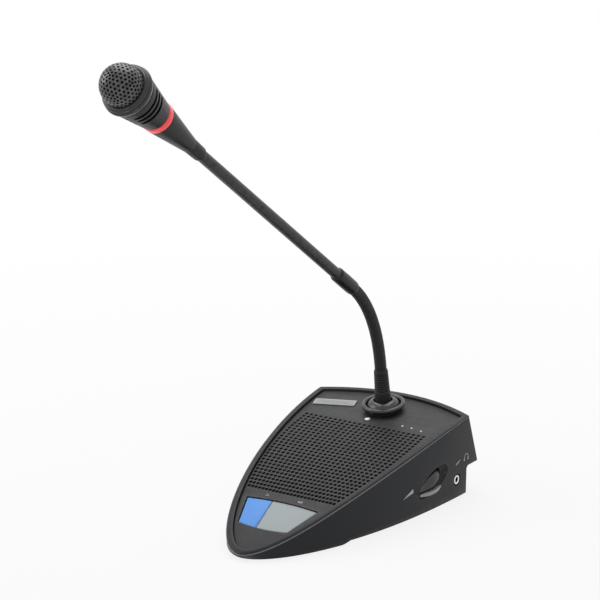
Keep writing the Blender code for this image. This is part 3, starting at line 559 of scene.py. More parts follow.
GROUP_MAKERS = {
    "Moulded grain": grain_group,
    "Rubbed edges": edge_wear_and_highlight_group,
    "Settled dust": dust_group,
    "Brushed lines": brushed_group,
    "Board tracks": trace_group,
}


def use_group(wires, name, **values):
    """Places a shared group in a material. A value is a number, a colour or another node's socket."""
    made = wires.node("ShaderNodeGroup")
    made.node_tree = bpy.data.node_groups.get(name) or GROUP_MAKERS[name]()
    for key, value in values.items():
        socket = made.inputs[key.replace("_", " ")]
        if isinstance(value, bpy.types.NodeSocket):
            wires.link(value, socket)
        else:
            socket.default_value = (*value, 1.0) if isinstance(value, tuple) else value
    return made.outputs


def shader_of(name, **plain):
    """A new material, its wires and its shader, with the values that are the same all over set on it."""
    material = bpy.data.materials.new(name)
    material.use_nodes = True
    wires = Wires(material.node_tree)
    shader = material.node_tree.nodes["Principled BSDF"].inputs
    for key, value in plain.items():
        shader[key.replace("_", " ")].default_value = value
    return material, wires, shader


def bump(wires, height, shader, strength, depth):
    made = wires.node("ShaderNodeBump")
    made.inputs["Strength"].default_value = strength
    made.inputs["Distance"].default_value = depth * MM
    wires.link(height, made.inputs["Height"])
    wires.link(made.outputs["Normal"], shader["Normal"])


def grained(name, colour, rough, grain=0.4, depth=0.05, strength=0.35, drift=0.4, rubbed=PALE, edge_wear_and_highlight=0.0,
            dust=0.0, gloss=0.5, metal=0.0):
    """Moulded plastic, paint or rubber: grain, paler edges (rubbed wear, and on some finishes a painted
    highlight) and a little dust.
    """
    material, wires, shader = shader_of(name, Specular_IOR_Level=gloss, Metallic=metal)
    surface = use_group(
        wires, "Moulded grain", Colour=colour, Grains_per_metre=1 / (grain * MM), Colour_drift=drift,
        Roughness=rough, Roughness_drift=0.2,
    )
    shown = surface["Colour"]
    if edge_wear_and_highlight:
        shown = use_group(wires, "Rubbed edges", Colour=shown, Rubbed_colour=rubbed, Amount=edge_wear_and_highlight)["Colour"]
    if dust:
        shown = use_group(wires, "Settled dust", Colour=shown, Amount=dust)["Colour"]
    wires.link(shown, shader["Base Color"])
    wires.link(surface["Roughness"], shader["Roughness"])
    bump(wires, surface["Height"], shader, strength, depth)
    return material


def brushed(name, colour, rough, lines=4000.0):
    material, wires, shader = shader_of(name, Metallic=1.0)
    surface = use_group(wires, "Brushed lines", Colour=colour, Lines_per_metre=lines, Roughness=rough)
    wires.link(surface["Colour"], shader["Base Color"])
    wires.link(surface["Roughness"], shader["Roughness"])
    bump(wires, surface["Height"], shader, 0.2, 0.03)
    return material


def glowing(name, colour, glow):
    """Translucent moulding lit from inside, a little uneven."""
    material, wires, shader = shader_of(
        name, Coat_Weight=0.5, Coat_Roughness=0.15, Emission_Strength=glow, Subsurface_Weight=0.15,
        Subsurface_Scale=2 * MM,
    )
    surface = use_group(
        wires, "Moulded grain", Colour=colour, Grains_per_metre=900.0, Colour_drift=0.5,
        Roughness=0.32, Roughness_drift=0.15,
    )
    wires.link(surface["Colour"], shader["Base Color"])
    wires.link(surface["Colour"], shader["Emission Color"])
    wires.link(surface["Roughness"], shader["Roughness"])
    return material


def board(name):
    material, wires, shader = shader_of(name, Roughness=0.4, Coat_Weight=0.3)
    surface = use_group(wires, "Board tracks")
    wires.link(surface["Colour"], shader["Base Color"])
    bump(wires, surface["Height"], shader, 0.4, 0.05)
    return material


# What the finishes are made with. A colour is given, or named where it is one of the settings.
GRAINED = {
    # Paler edges on the housing: rubbed wear, and a painted highlight line along the rim's edge
    "housing plastic": ("wall", 0.46, dict(edge_wear_and_highlight=0.6, dust=0.03, gloss=0.25)),
    "panel plastic": ("panel", 0.5, dict(grain=0.5, edge_wear_and_highlight=0.3, dust=0.04, gloss=0.27)),
    "gloss black": ("black", 0.27, dict(grain=1.2, depth=0.01, edge_wear_and_highlight=0.2, gloss=0.4)),
    "bezel gloss": ((0.03, 0.03, 0.032), 0.24, dict(grain=1.2, depth=0.01, edge_wear_and_highlight=0.3, gloss=0.6)),
    "wheel gloss": ((0.016, 0.0163, 0.0175), 0.24, dict(grain=1.2, depth=0.01, edge_wear_and_highlight=0.2, gloss=0.6)),
    # Paler edges on the head's rim: painted highlights on its two ridges, as well as rubbed wear
    "rim gloss": ((0.014, 0.0143, 0.0155), 0.27, dict(grain=0.8, depth=0.01, edge_wear_and_highlight=0.5)),
    "satin black": ("black", 0.36, dict(grain=0.5, depth=0.02, edge_wear_and_highlight=0.25, dust=0.02, gloss=0.25)),
    "neck rubber": ((0.023, 0.023, 0.0245), 0.55, dict(grain=0.3, depth=0.04, dust=0.02, gloss=0.3)),
    "black paint": ("black", 0.38, dict(grain=0.35, depth=0.03, edge_wear_and_highlight=0.3, gloss=0.25)),
    "mesh paint": (
        (0.03, 0.03, 0.032), 0.3,
        dict(grain=0.6, depth=0.02, rubbed=(0.4, 0.4, 0.41), edge_wear_and_highlight=0.4, metal=0.4),
    ),
    # The keys' pale edge colours are painted highlights on their bevels, as well as rubbed wear
    "left key plastic": (
        "priority", 0.42,
        dict(grain=0.5, depth=0.02, drift=0.15, rubbed=(0.7, 0.82, 0.97), edge_wear_and_highlight=0.9, gloss=0.3),
    ),
    "right key plastic": (
        "speak", 0.42,
        dict(grain=0.5, depth=0.02, drift=0.15, rubbed=(0.82, 0.85, 0.86), edge_wear_and_highlight=0.9, gloss=0.3),
    ),
    # Pale colour of the bead: a painted highlight along the rim's edge
    "bead satin": (
        (0.13, 0.133, 0.138), 0.3,
        dict(grain=0.6, depth=0.02, rubbed=(0.25, 0.25, 0.255), edge_wear_and_highlight=0.3),
    ),
    # Pale colour of the scoop's ledge: a painted highlight on its lower lip
    "lip satin": (
        (0.4, 0.405, 0.41), 0.36,
        dict(grain=0.5, depth=0.02, drift=0.2, rubbed=(0.5, 0.5, 0.5), edge_wear_and_highlight=0.3),
    ),
    "white print": ((0.6, 0.61, 0.61), 0.6, dict(grain=0.2, depth=0.01, drift=0.3)),
    "cone paper": ((0.03, 0.03, 0.032), 0.85, dict(grain=0.7, depth=0.2, strength=0.6)),
    "open foam": ((0.012, 0.012, 0.012), 0.95, dict(grain=0.6, depth=0.5, strength=0.9)),
}
BRUSHED = {
    "nickel": ((0.72, 0.71, 0.68), 0.22, 9000.0),
    "satin aluminium": ((0.36, 0.365, 0.37), 0.42),
    "zinc steel": ((0.5, 0.51, 0.52), 0.42),
    "machined brass": ((0.72, 0.52, 0.22), 0.3),
}
GLOWING = {
    "lamp lens": ((0.85, 0.86, 0.86), 0.25),
    "red light": ("ring", 0.42),
}


def colour_of(given):
    return tuple(getattr(bpy.context.scene.unit_colours, given)) if isinstance(given, str) else given


def finish(name):
    """The named finish, made once."""
    found = bpy.data.materials.get(name)
    if found:
        return found
    if name in GRAINED:
        colour, rough, more = GRAINED[name]
        return grained(name, colour_of(colour), rough, **more)
    if name in GLOWING:
        colour, glow = GLOWING[name]
        return glowing(name, colour_of(colour), glow)
    return brushed(name, *BRUSHED[name]) if name in BRUSHED else board(name)


# Meshes

def circle(radius, height, segments, x=0.0, y=0.0):
    turns = [2 * math.pi * i / segments for i in range(segments)]
    return [(x + radius * math.cos(a), y + radius * math.sin(a), height) for a in turns]


def bridge(bm, low, high):
    """Side faces between two rings of vertices."""
    for i in range(len(low)):
        bm.faces.new((low[i - 1], low[i], high[i], high[i - 1]))


def join_loops(bm, loops):
    """Side faces between loops of equal length. The loops come back as vertices."""
    rings = [[bm.verts.new(point) for point in loop] for loop in loops]
    for low, high in zip(rings, rings[1:]):
        bridge(bm, low, high)
    return rings


def close_end(bm, ring, tip_height):
    """Closes a ring with one flat face, or with a fan where its tip stands off it."""
    if math.isclose(ring[0].co.z, tip_height, abs_tol=1e-4):
        bm.faces.new(ring)
        return
    tip = bm.verts.new((0, 0, tip_height))
    for i in range(len(ring)):
        bm.faces.new((ring[i - 1], ring[i], tip))


def turned(profile, segments=ROUND):
    """A turned solid from (radius, height) pairs: a ring where no radius is zero, or closed on the axis."""
    bm = bmesh.new()
    rings = join_loops(bm, [circle(r, z, segments) for r, z in profile if r > 0])
    if len(rings) == len(profile):
        bridge(bm, rings[-1], rings[0])
        return bm
    close_end(bm, rings[0], profile[0][1])
    close_end(bm, rings[-1], profile[-1][1])
    return bm


def soften(points, radius, steps=3, closed=True):
    """Rounds the corners of a profile, each by less than half of the shorter edge beside it."""
    last = len(points) - 1
    result = []
    for i, point in enumerate(points):
        if not closed and i in (0, last):
            result.append(tuple(point))
            continue
        here = Vector(point)
        before = Vector(points[i - 1]) - here
        after = Vector(points[(i + 1) % (last + 1)]) - here
        reach = min(radius, 0.45 * before.length, 0.45 * after.length)
        start = here + before.normalized() * reach
        end = here + after.normalized() * reach
        for k in range(steps + 1):
            t = k / steps
            result.append(tuple(start * (1 - t) ** 2 + here * 2 * t * (1 - t) + end * t**2))
    return result


def rod(radius, low, high, segments=ROUND_SMALL):
    return turned([(0, low), (radius, low), (radius, high), (0, high)], segments)


def add_prism(bm, loops):
    """Adds a solid through loops, closed by one face at each end."""
    rings = join_loops(bm, loops)
    bm.faces.new(rings[0][::-1])
    bm.faces.new(rings[-1])
    return bm


def prism(loops):
    return add_prism(bmesh.new(), loops)


def flat(points, z):
    return [(x, y, z) for x, y in points]


def rectangle(x0, y0, x1, y1):
    return [(x0, y0), (x1, y0), (x1, y1), (x0, y1)]


def box(low, high):
    corners = rectangle(*low[:2], *high[:2])
    return prism([flat(corners, low[2]), flat(corners, high[2])])


def trim(bm, point, normal):
    """Keeps what lies on the side that the normal points to, and closes the cut."""
    everything = bm.verts[:] + bm.edges[:] + bm.faces[:]
    bmesh.ops.bisect_plane(bm, geom=everything, plane_co=point, plane_no=normal, clear_inner=True)
    bmesh.ops.holes_fill(bm, edges=[edge for edge in bm.edges if edge.is_boundary])
    return bm


# Pieces

def solid(name, bm, at=Matrix()):
    """An object from a mesh in the unit's own frame, or in a frame placed in it."""
    bmesh.ops.transform(bm, matrix=UNIT @ at, verts=bm.verts)
    bmesh.ops.recalc_face_normals(bm, faces=bm.faces)
    mesh = bpy.data.meshes.new(name)
    bm.to_mesh(mesh)
    bm.free()
    obj = bpy.data.objects.new(name, mesh)
    bpy.context.scene.collection.objects.link(obj)
    return obj


def carve(obj, cutters, operation="DIFFERENCE"):
    """Cuts closed solids from an object, or adds them, and removes them."""
    for cutter in cutters:
        modifier = obj.modifiers.new(cutter.name, "BOOLEAN")
        modifier.operation = operation
        modifier.solver = "MANIFOLD"
        modifier.object = cutter
    graph = bpy.context.evaluated_depsgraph_get()
    mesh = bpy.data.meshes.new_from_object(obj.evaluated_get(graph))
    obj.modifiers.clear()
    obj.data = mesh
    for cutter in cutters:
        bpy.data.objects.remove(cutter, do_unlink=True)
    return obj


def dress(obj, finish_name, body="base", stands_for=(), sharp=35.0):
    """Gives a piece its shading and finish, and sets it on its body."""
    obj.data.shade_smooth()
    obj.data.set_sharp_from_angle(angle=math.radians(sharp))
    obj.data.materials.clear()
    obj.data.materials.append(finish(finish_name))
    if body:
        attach(obj, body)
    if stands_for:
        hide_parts(*stands_for)
    return obj


# Base outline

def outline(nose_setback=0.0, front_flare=0.0, back_flare=0.0, back_run=0.0):
    """The plan outline from the nose, up the right side, round the back and down the left."""
    half = []
    for i in range(SIDE_STEPS + 1):
        t = (i / SIDE_STEPS) ** 2
        width = HALF_WIDTH * (1 - (1 - t) ** NOSE_POWER) ** WIDTH_POWER
        x = width + front_flare * (1 - t) * math.sqrt(t) + back_flare * t
        half.append((x, nose_setback + (CORNER_Y - nose_setback) * t + back_run * t**4))
    for i in range(1, BACK_STEPS + 1):
        share = 1 - i / BACK_STEPS
        half.append((share * (HALF_WIDTH + back_flare), CORNER_Y + back_run + BACK_BULGE * (1 - share**2)))
    return half + [(-x, y) for x, y in reversed(half[1:-1])]


def rounded(loop, reach):
    """The outline with its two back corners rounded."""
    corners = (SIDE_STEPS, len(loop) - SIDE_STEPS)
    result = []
    for i, point in enumerate(loop):
        if i in corners:
            result += soften((loop[i - 1], point, loop[i + 1]), reach, CORNER_STEPS, closed=False)[1:-1]
        else:
            result.append(point)
    return result


def inset(loop, distance, share=None):
    """The outline moved inwards by a distance, or by a share of it at each y, with its corners kept."""
    count = len(loop)
    moved = []
    for i in range(count):
        before, here, after = (Vector(loop[k % count]) for k in (i - 1, i, i + 1))
        first = (here - before).normalized()
        second = (after - here).normalized()
        inward = Vector((-first.y - second.y, first.x + second.x))
        reach = distance * share(here.y) if share else distance
        moved.append(tuple(here + inward * reach / (1 + first.dot(second))))
    return moved


def on_top(loop, drop):
    return [(x, y, top_height(y) - drop) for x, y in loop]


def edge_share(y):
    """How much of the rim's rounding is kept at y: all of it in front, less towards the back."""
    fade = min(max((y - EDGE_FADE_Y) / (CORNER_Y - EDGE_FADE_Y), 0.0), 1.0)
    return 1 - (1 - EDGE_BACK_SHARE) * fade


def rim_edge(loop, corner, step, drop):
    """A loop round the rim's outer edge, moved inwards and down."""
    moved = rounded(inset(loop, step, edge_share), corner)
    return [(x, y, top_height(y) - drop * edge_share(y)) for x, y in moved]


def between(low, high, share):
    return [tuple(Vector(a).lerp(Vector(b), share)) for a, b in zip(low, high)]


def across(bm, ring):
    """Closes a symmetric loop that starts at the nose with strips that run from side to side."""
    count = len(ring)
    half = count // 2
    bm.faces.new((ring[0], ring[1], ring[-1]))
    for i in range(1, half - 1):
        bm.faces.new((ring[i], ring[i + 1], ring[count - i - 1], ring[count - i]))
    bm.faces.new((ring[half - 1], ring[half], ring[half + 1]))


def shield(loops):
    """A solid through loops of the base outline, closed by strips at each end."""
    bm = bmesh.new()
    rings = join_loops(bm, loops)
    across(bm, rings[0])
    across(bm, rings[-1])
    return bm


# Housing

def underside_cutter():
    """What is cut from under the housing: a step behind the nose and the undercut for the sockets."""
    bevel = 1.5
    side = (
        (STEP_FRONT_Y, BELOW_DESK), (STEP_FRONT_Y, FRONT_FLOOR - 0.1), (STEP_BACK_Y, REAR_FLOOR),
        (UNDERCUT_Y, REAR_FLOOR), (UNDERCUT_Y, UNDERCUT_Z - bevel), (UNDERCUT_Y + bevel, UNDERCUT_Z),
        (FAR_BACK_Y, UNDERCUT_Z), (FAR_BACK_Y, BELOW_DESK),
    )
    return solid("underside_cutter", prism([[(x, y, z) for y, z in side] for x in (-FAR_SIDE, FAR_SIDE)]))


def cavity_cutter(low, high):
    """The space inside the housing, less the wall before the undercut and the boss behind the scoop."""
    floor = flat(inset(low, WALL), FRONT_FLOOR - 0.8)
    space = shield([floor, on_top(inset(high, WALL), RECESS_DEPTH + LEDGE_THICK)])
    cavity = solid("cavity_cutter", trim(space, (0, CAVITY_FRONT_Y, 0), (0, 1, 0)))
    block = box((-FAR_SIDE, UNDERCUT_Y - WALL, BELOW_DESK), (FAR_SIDE, FAR_BACK_Y, UNDERCUT_Z + WALL))
    depth, half_length, half_height = SCOOP_HALF
    length = half_length + 2
    height = half_height + 0.8
    boss = box((-depth - 3, -length, -height), (10, length, height))
    return carve(cavity, [solid("rear_wall_block", block), solid("wheel_boss", boss, SCOOP)])


def recess_cutter(loop, corner):
    """The step for the panel, with a rounded inner edge on the rim."""
    steps = ((0.0, RECESS_DEPTH), (0.0, 0.5), (-0.15, 0.15), (-0.5, 0.0), (-0.5, -3.0))
    loops = [on_top(rounded(inset(loop, RIM + out), corner), drop) for out, drop in steps]
    return solid("recess_cutter", shield(loops))


def opening_cutter(loop):
    inner = inset(loop, LEDGE_INSET)
    space = shield([on_top(inner, RECESS_DEPTH + LEDGE_THICK + 1), on_top(inner, RECESS_DEPTH - 1)])
    return solid("opening_cutter", trim(space, (0, OPENING_FRONT_Y, 0), (0, 1, 0)))


def scoop_cutter():
    """A leaf-shaped hollow: pointed at its front end, round at its back end."""
    bm = bmesh.new()
    bmesh.ops.create_uvsphere(bm, u_segments=64, v_segments=40, radius=1.0)
    bmesh.ops.rotate(bm, verts=bm.verts, cent=(0, 0, 0), matrix=Matrix.Rotation(math.pi / 2, 3, "X"))
    depth, half_length, half_height = SCOOP_HALF
    for vertex in bm.verts:
        taper = ((1.02 + vertex.co.y) / 2) ** 0.3
        vertex.co.x *= depth
        vertex.co.z *= half_height * taper
        vertex.co.y *= half_length
    return solid("scoop_cutter", bm, Matrix.Translation((0.3, 0, 0)) @ SCOOP)


def wheel_rim(radius, thick):
    """A barrel-shaped rim from its top edge to its bottom edge."""
    rim = [(radius - 3.2, 0.5), (radius - 1.3, 0.4), (radius - 0.3, 0.22), (radius, 0.0)]
    heights = [(r, share * thick) for r, share in rim]
    return heights + [(r, -z) for r, z in reversed(heights[:-1])]


def wheel_slot_cutter():
    profile = wheel_rim(WHEEL_RADIUS + WHEEL_CLEARANCE, WHEEL_THICK + 2 * WHEEL_CLEARANCE)
    profile = [(0, profile[0][1])] + profile + [(0, profile[-1][1])]
    return solid("wheel_slot_cutter", turned(profile), WHEEL)


def socket_frame(side):
    """Frame on the undercut's wall for the line socket at the left (-1) or the right (1)."""
    return Matrix.Translation((side * SOCKET_X, UNDERCUT_Y, SOCKET_Z)) @ TOWARDS_BACK


def wall_cutters():
    """Holes in the right wall and in the back."""
    wide = JACK_HOLE + 0.9
    jack = [(0, -10), (JACK_HOLE, -10), (JACK_HOLE, 0.0), (wide, 1.6), (wide, 10), (0, 10)]
    cutters = [solid("jack_cutter", turned(jack, ROUND_SMALL), JACK)]
    for side in (-1, 1):
        cutters.append(solid("socket_cutter", rod(SOCKET_RADIUS + 0.3, -6, 6), socket_frame(side)))
    return cutters


def make_housing(shape):
    corner = shape.corner / MM
    edge = shape.edge / MM
    low = outline(NOSE_SETBACK, FRONT_FLARE, BACK_FLARE, BACK_RUN)
    high = outline()
    foot = flat(rounded(low, corner), FRONT_FLOOR + 0.6)
    shoulder = rim_edge(high, corner, 0.0, 1.15 * edge)
    lowest = ((0.6, 0.6), (0.15, 0.45))
    loops = [flat(rounded(inset(low, step), corner), FRONT_FLOOR + 0.6 - rise) for step, rise in lowest]
    loops += [between(foot, shoulder, i / WALL_LEVELS) for i in range(WALL_LEVELS + 1)]
    loops += [rim_edge(high, corner, edge * step, edge * drop) for step, drop in EDGE_PROFILE]
    housing = solid("housing_skin", shield(loops))
    cutters = [
        underside_cutter(), cavity_cutter(low, high), recess_cutter(high, corner), opening_cutter(high),
        scoop_cutter(), wheel_slot_cutter(), *wall_cutters(),
    ]
    carve(housing, cutters)
    dress(housing, "housing plastic", stands_for=["housing_shell"])


def make_rim_highlight_line(shape):
    """A slim pale bead along the outer edge of the rim, all the way round: a painted highlight line where
    the rounded edge would catch the light.
    """
    bm = bmesh.new()
    corner = shape.corner / MM
    edge = shape.edge / MM
    loops = [rim_edge(outline(), corner, edge * step, edge * drop) for step, drop in RIM_HIGHLIGHT_PROFILE]
    rings = join_loops(bm, loops)
    bridge(bm, rings[-1], rings[0])
    dress(solid("rim_bead", bm), "bead satin", sharp=60.0)


# Top panel

def grille_half(y):
    t = (y - GRILLE_FRONT_Y) / (GRILLE_BACK_Y - GRILLE_FRONT_Y)
    return GRILLE_FRONT_HALF + (GRILLE_BACK_HALF - GRILLE_FRONT_HALF) * t + GRILLE_CROWN * t * (1 - t)


def grille_cutter(rows, columns, radius):
    """Round holes in rows, in columns that fan out with the sides of the base."""
    bm = bmesh.new()
    for row in range(rows):
        y = GRILLE_FRONT_Y + (GRILLE_BACK_Y - GRILLE_FRONT_Y) * row / (rows - 1)
        top = top_height(y) - PANEL_DROP
        for column in range(columns):
            x = grille_half(y) * (2 * column / (columns - 1) - 1)
            add_prism(bm, [circle(radius, top + reach, ROUND_HOLE, x, y) for reach in GRILLE_CUT])
    return solid("grille_cutter", bm)


def key_half(v):
    return KEY_FRONT_HALF + (KEY_BACK_HALF - KEY_FRONT_HALF) * (v - KEY_FRONT) / (KEY_BACK - KEY_FRONT)


def key_left(v):
    return -key_half(v)


def divider(v):
    return DIVIDER_FRONT + (DIVIDER_BACK - DIVIDER_FRONT) * (v - KEY_FRONT) / (KEY_BACK - KEY_FRONT)


def key_end(left, right, grow, end, bow):
    """Points along a bowed end of a key, from its left edge to its right edge."""
    def bowed(x):
        return end + bow * (1 - (x / key_half(end)) ** 2)

    start = left(bowed(left(end))) - grow
    stop = right(bowed(right(end))) + grow
    places = [start + (stop - start) * i / KEY_END_STEPS for i in range(KEY_END_STEPS + 1)]
    return [(x, bowed(x)) for x in places]


def key_plan(left, right, grow=0.0):
    """Outline of a key between two slanting edges and two bowed ends, with rounded corners."""
    front = key_end(left, right, grow, KEY_FRONT - grow, -KEY_BOW)
    back = key_end(left, right, grow, KEY_BACK + grow, KEY_BOW)
    return soften(front + back[::-1], KEY_CORNER)


def make_top_panel(shape):
    corner = shape.corner / MM
    high = outline()
    steps = ((0.0, PANEL_THICK), (0.0, 0.3), (0.09, 0.09), (0.3, 0.0))
    loops = []
    for step, drop in steps:
        loops.append(on_top(rounded(inset(high, RIM + PANEL_GAP + step), corner), PANEL_DROP + drop))
    panel = solid("panel_skin", shield(loops))
    opening = key_plan(key_left, key_half, KEY_CLEARANCE)
    cutters = [
        grille_cutter(shape.rows, shape.columns, shape.hole / MM),
        solid("key_opening", prism([flat(opening, -6), flat(opening, 6)]), KEYS),
        solid("neck_hole", rod(NECK_HOLE, -8, 8), SEAT),
    ]
    for name, (x, y, radius) in LAMPS.items():
        cutters.append(solid(name + "_hole", rod(radius + 0.2, -8, 8, ROUND_LAMP), on_panel(x, y)))
    carve(panel, cutters)
    dress(panel, "panel plastic", stands_for=["top_panel"])


def make_keys(shape):
    edge = shape.key_edge / MM
    sides = {
        "priority_key": (key_left, lambda v: divider(v) - KEY_SPLIT, "left key plastic", "blue_key"),
        "speak_key": (lambda v: divider(v) + KEY_SPLIT, key_half, "right key plastic", "grey_key"),
    }
    for name, (left, right, finish_name, slot) in sides.items():
        plan = key_plan(left, right)
        loops = [flat(plan, KEY_LOW)]
        for i in range(KEY_EDGE_STEPS + 1):
            turn = math.pi / 2 * i / KEY_EDGE_STEPS
            height = KEY_PROUD - edge * (1 - math.sin(turn))
            loops.append(flat(inset(plan, edge * (1 - math.cos(turn))), height))
        cap = solid(name + "_cap", prism(loops), KEYS)
        dress(cap, finish_name, name, [name])


def make_lamps():
    for name, (x, y, radius) in LAMPS.items():
        profile = [(0, 0.32)] + [(radius * share, z) for share, z in LENS_PROFILE] + [(0, -4)]
        lens = solid(name + "_lens", turned(profile, ROUND_LAMP), on_panel(x, y))
        dress(lens, "lamp lens", stands_for=[name])


def make_blank_plate():
    """A bare satin plate with a raised border and plain ribs along it."""
    length, width, thick = PLATE_SIZE
    plan = soften(rectangle(-length / 2, -width / 2, length / 2, width / 2), 0.6)
    top = PLATE_LOW + thick
    steps = ((0.0, PLATE_LOW), (0.0, top - 0.12), (0.12, top), (0.7, top), (0.85, top - 0.2))
    plate = solid("plate_skin", prism([flat(inset(plan, step), z) for step, z in steps]), PLATE)
    dress(plate, "satin aluminium", stands_for=["blank_plate"])
    end = length / 2 - 1.4
    for i in range(PLATE_RIBS):
        y = -width / 2 + 1.6 + i * 1.2
        loop = soften(rectangle(-end, y - 0.25, end, y + 0.25), 0.2)
        rib = solid(f"plate_rib_{i + 1}", prism([flat(loop, top - 0.3), flat(loop, top - 0.06)]), PLATE)
        dress(rib, "satin aluminium")


# Printed marks

def bar(start, end, width):
    """Corners of a straight stroke."""
    a, b = Vector(start), Vector(end)
    side = (b - a).orthogonal().normalized() * width / 2
    return [tuple(a + side), tuple(a - side), tuple(b - side), tuple(b + side)]


def arc(radius, start, end, width, steps=16):
    """Corners of a curved stroke about the middle of a mark."""
    turns = [math.radians(start + (end - start) * i / steps) for i in range(steps + 1)]
    outside = radius + width / 2
    inside = radius - width / 2
    outer = [(outside * math.cos(a), outside * math.sin(a)) for a in turns]
    return outer + [(inside * math.cos(a), inside * math.sin(a)) for a in reversed(turns)]


def make_mark(name, strokes, at):
    """Strokes of ink that stand a little proud of the surface."""
    bm = bmesh.new()
    for stroke in strokes:
        add_prism(bm, [flat(stroke, -0.1), flat(stroke, 0.08)])
    dress(solid(name, bm, at), "white print")


def on_wall(tree, y, z):
    """Frame on the right wall at a height: z is its normal, x runs towards the back."""
    start = UNIT @ Vector((WALL_X + 40, y, z))
    place, normal, _, _ = tree.ray_cast(start, Vector((-1, 0, 0)))
    level = (Vector((0, 1, 0)) - normal * normal.y).normalized()
    turn = Matrix((level, normal.cross(level), normal)).transposed().to_4x4()
    return Matrix.Translation(UNIT.inverted() @ place) @ turn


def make_marks():
    """Plain signs: arrows and waves by the keys, a wedge by the wheel, headphones and a dash by the jack."""
    arrows = [bar((s, -0.9), (s + 0.8, 0.0), 0.32) for s in (-1.2, 0.0)]
    arrows += [bar((s + 0.8, 0.0), (s, 0.9), 0.32) for s in (-1.2, 0.0)]
    make_mark("mark_priority", arrows, on_panel(-14.5, 53.6))
    talk = [arc(0.55, 0, 345, 0.5, 20)] + [arc(r, -40, 40, 0.3) for r in (1.5, 2.3)]
    make_mark("mark_speak", talk, on_panel(9.5, 53.6))
    skin = bpy.data.objects["housing_skin"]
    tree = BVHTree.FromObject(skin, bpy.context.evaluated_depsgraph_get())
    wedge = [[(-5.5, -1.2), (5.5, -1.2), (5.5, 1.4)]]
    make_mark("mark_volume", wedge, on_wall(tree, 114.5, 19.4) @ Matrix.Rotation(math.radians(12), 4, "Z"))
    make_mark("mark_dash", [bar((-2.4, -1.1), (2.4, 1.1), 0.8)], on_wall(tree, 169.8, 26.4))
    phones = [arc(2.4, -10, 190, 0.45)] + [bar((x, -0.3), (x, -2.2), 1.1) for x in (-2.4, 2.4)]
    make_mark("mark_phones", phones, on_wall(tree, 180.0, 27.4))


# Wheel, jack and sockets

def make_wheel():
    """A thumb wheel with a domed upper side."""
    top = WHEEL_THICK / 2
    dome = [(WHEEL_RADIUS - step, top - drop) for step, drop in WHEEL_DOME]
    profile = soften([(WHEEL_BORE, top)] + dome + [(WHEEL_BORE, dome[-1][1])], 1.2, 4)
    wheel = solid("volume_knob", turned(profile, ROUND_FINE), WHEEL)
    dress(wheel, "wheel gloss", "volume_wheel", ["volume_wheel"])


def lip_share(t):
    """How much of the ledge's thickness is left at t, from -1 at its front end to 1 at its back end."""
    return 1 - (0.9 if t > 0 else 0.45) * t**2


def make_scoop_lip():
    """A pale crescent ledge across the lower part of the scoop, level, under the wheel. Its pale colour is a
    painted highlight: the light that the scoop's lower lip catches from above.
    """
    inner = LIP_INNER_X
    top = LIP_Z + LIP_THICK
    shares = [2 * i / LIP_STEPS - 1 for i in range(LIP_STEPS + 1)]
    ends = [(inner - 0.4, 1.0), (inner - 0.4, -1.0)]
    steps = (
        (0.5, 0.0), (0.12, 0.3), (0.0, 0.9),
        (0.0, LIP_THICK - 0.9), (0.15, LIP_THICK - 0.3), (0.6, LIP_THICK),
    )
    loops = []
    for back, rise in steps:
        plan = [(inner + (LIP_REACH - back) * (1 - t**2), t) for t in shares] + ends
        drop = LIP_THICK - rise
        loops.append([(x, LIP_Y + LIP_HALF * t, top - drop * lip_share(t)) for x, t in plan])
    dress(solid("scoop_lip", prism(loops)), "lip satin")


def make_jack():
    face = WALL_X - WALL - 0.5
    high = WALL_X - face + 0.2
    ring = [(JACK_BORE, 0.3), (JACK_RING, 0.3), (JACK_RING, high), (JACK_BORE, high)]
    at = Matrix.Translation((face, JACK_Y, JACK_Z)) @ TOWARDS_X
    rim = solid("jack_rim", turned(soften(ring, 0.5), ROUND_MIDDLE), at)
    dress(rim, "nickel", stands_for=["jack_ring"])


def make_sockets():
    """Round sockets with a metal lip and pins on their floor."""
    floor = -SOCKET_DEPTH
    r, bore = SOCKET_RADIUS, SOCKET_BORE
    cup = [(0, floor - 2), (r, floor - 2), (r, 1.0), (bore, 1.0), (bore, floor), (0, floor)]
    edge = [(bore + 0.1, 0.9), (bore + 0.9, 0.9), (bore + 0.9, 1.2), (bore + 0.1, 1.2)]
    for side, sign in (("left", -1), ("right", 1)):
        at = socket_frame(sign)
        shell = solid(f"socket_{side}_cup", turned(soften(cup, 0.4, closed=False), ROUND_MIDDLE), at)
        dress(shell, "gloss black", stands_for=["line_socket_" + side])
        lip = solid(f"socket_{side}_lip", turned(soften(edge, 0.1), ROUND_MIDDLE), at)
        dress(lip, "nickel")
        pins = bmesh.new()
        for k in range(7):
            reach = PIN_CIRCLE if k else 0.0
            turn = math.radians(60 * k)
            x, y = reach * math.cos(turn), reach * math.sin(turn)
            loops = [circle(radius, floor + rise, ROUND_HOLE, x, y) for radius, rise in PIN_PROFILE]
            add_prism(pins, loops)
        dress(solid(f"socket_{side}_pins", pins, at), "machined brass")


# Bottom

def standing(prefix):
    """The nodes whose name starts so: each with its frame on the desk, its radius, lowest and highest z."""
    for node in sorted(n for n in frame["nodes"] if n.startswith(prefix)):
        low, high = (UNIT.inverted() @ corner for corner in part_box(node))
        middle = (low + high) / 2
        yield node, Matrix.Translation((middle.x, middle.y, 0)), (high.x - low.x) / 2, low.z, high.z


def make_feet():
    for node, at, radius, _, high in standing("foot_"):
        profile = [
            (0, 0.5), (radius - 2.6, 0.5), (radius - 2.0, 0.0), (radius - 0.7, 0.0), (radius, 0.7),
            (radius, high), (0, high),
        ]
        pad = solid(node + "_pad", turned(soften(profile, 0.4, closed=False), ROUND_MIDDLE), at)
        dress(pad, "neck rubber", stands_for=[node])


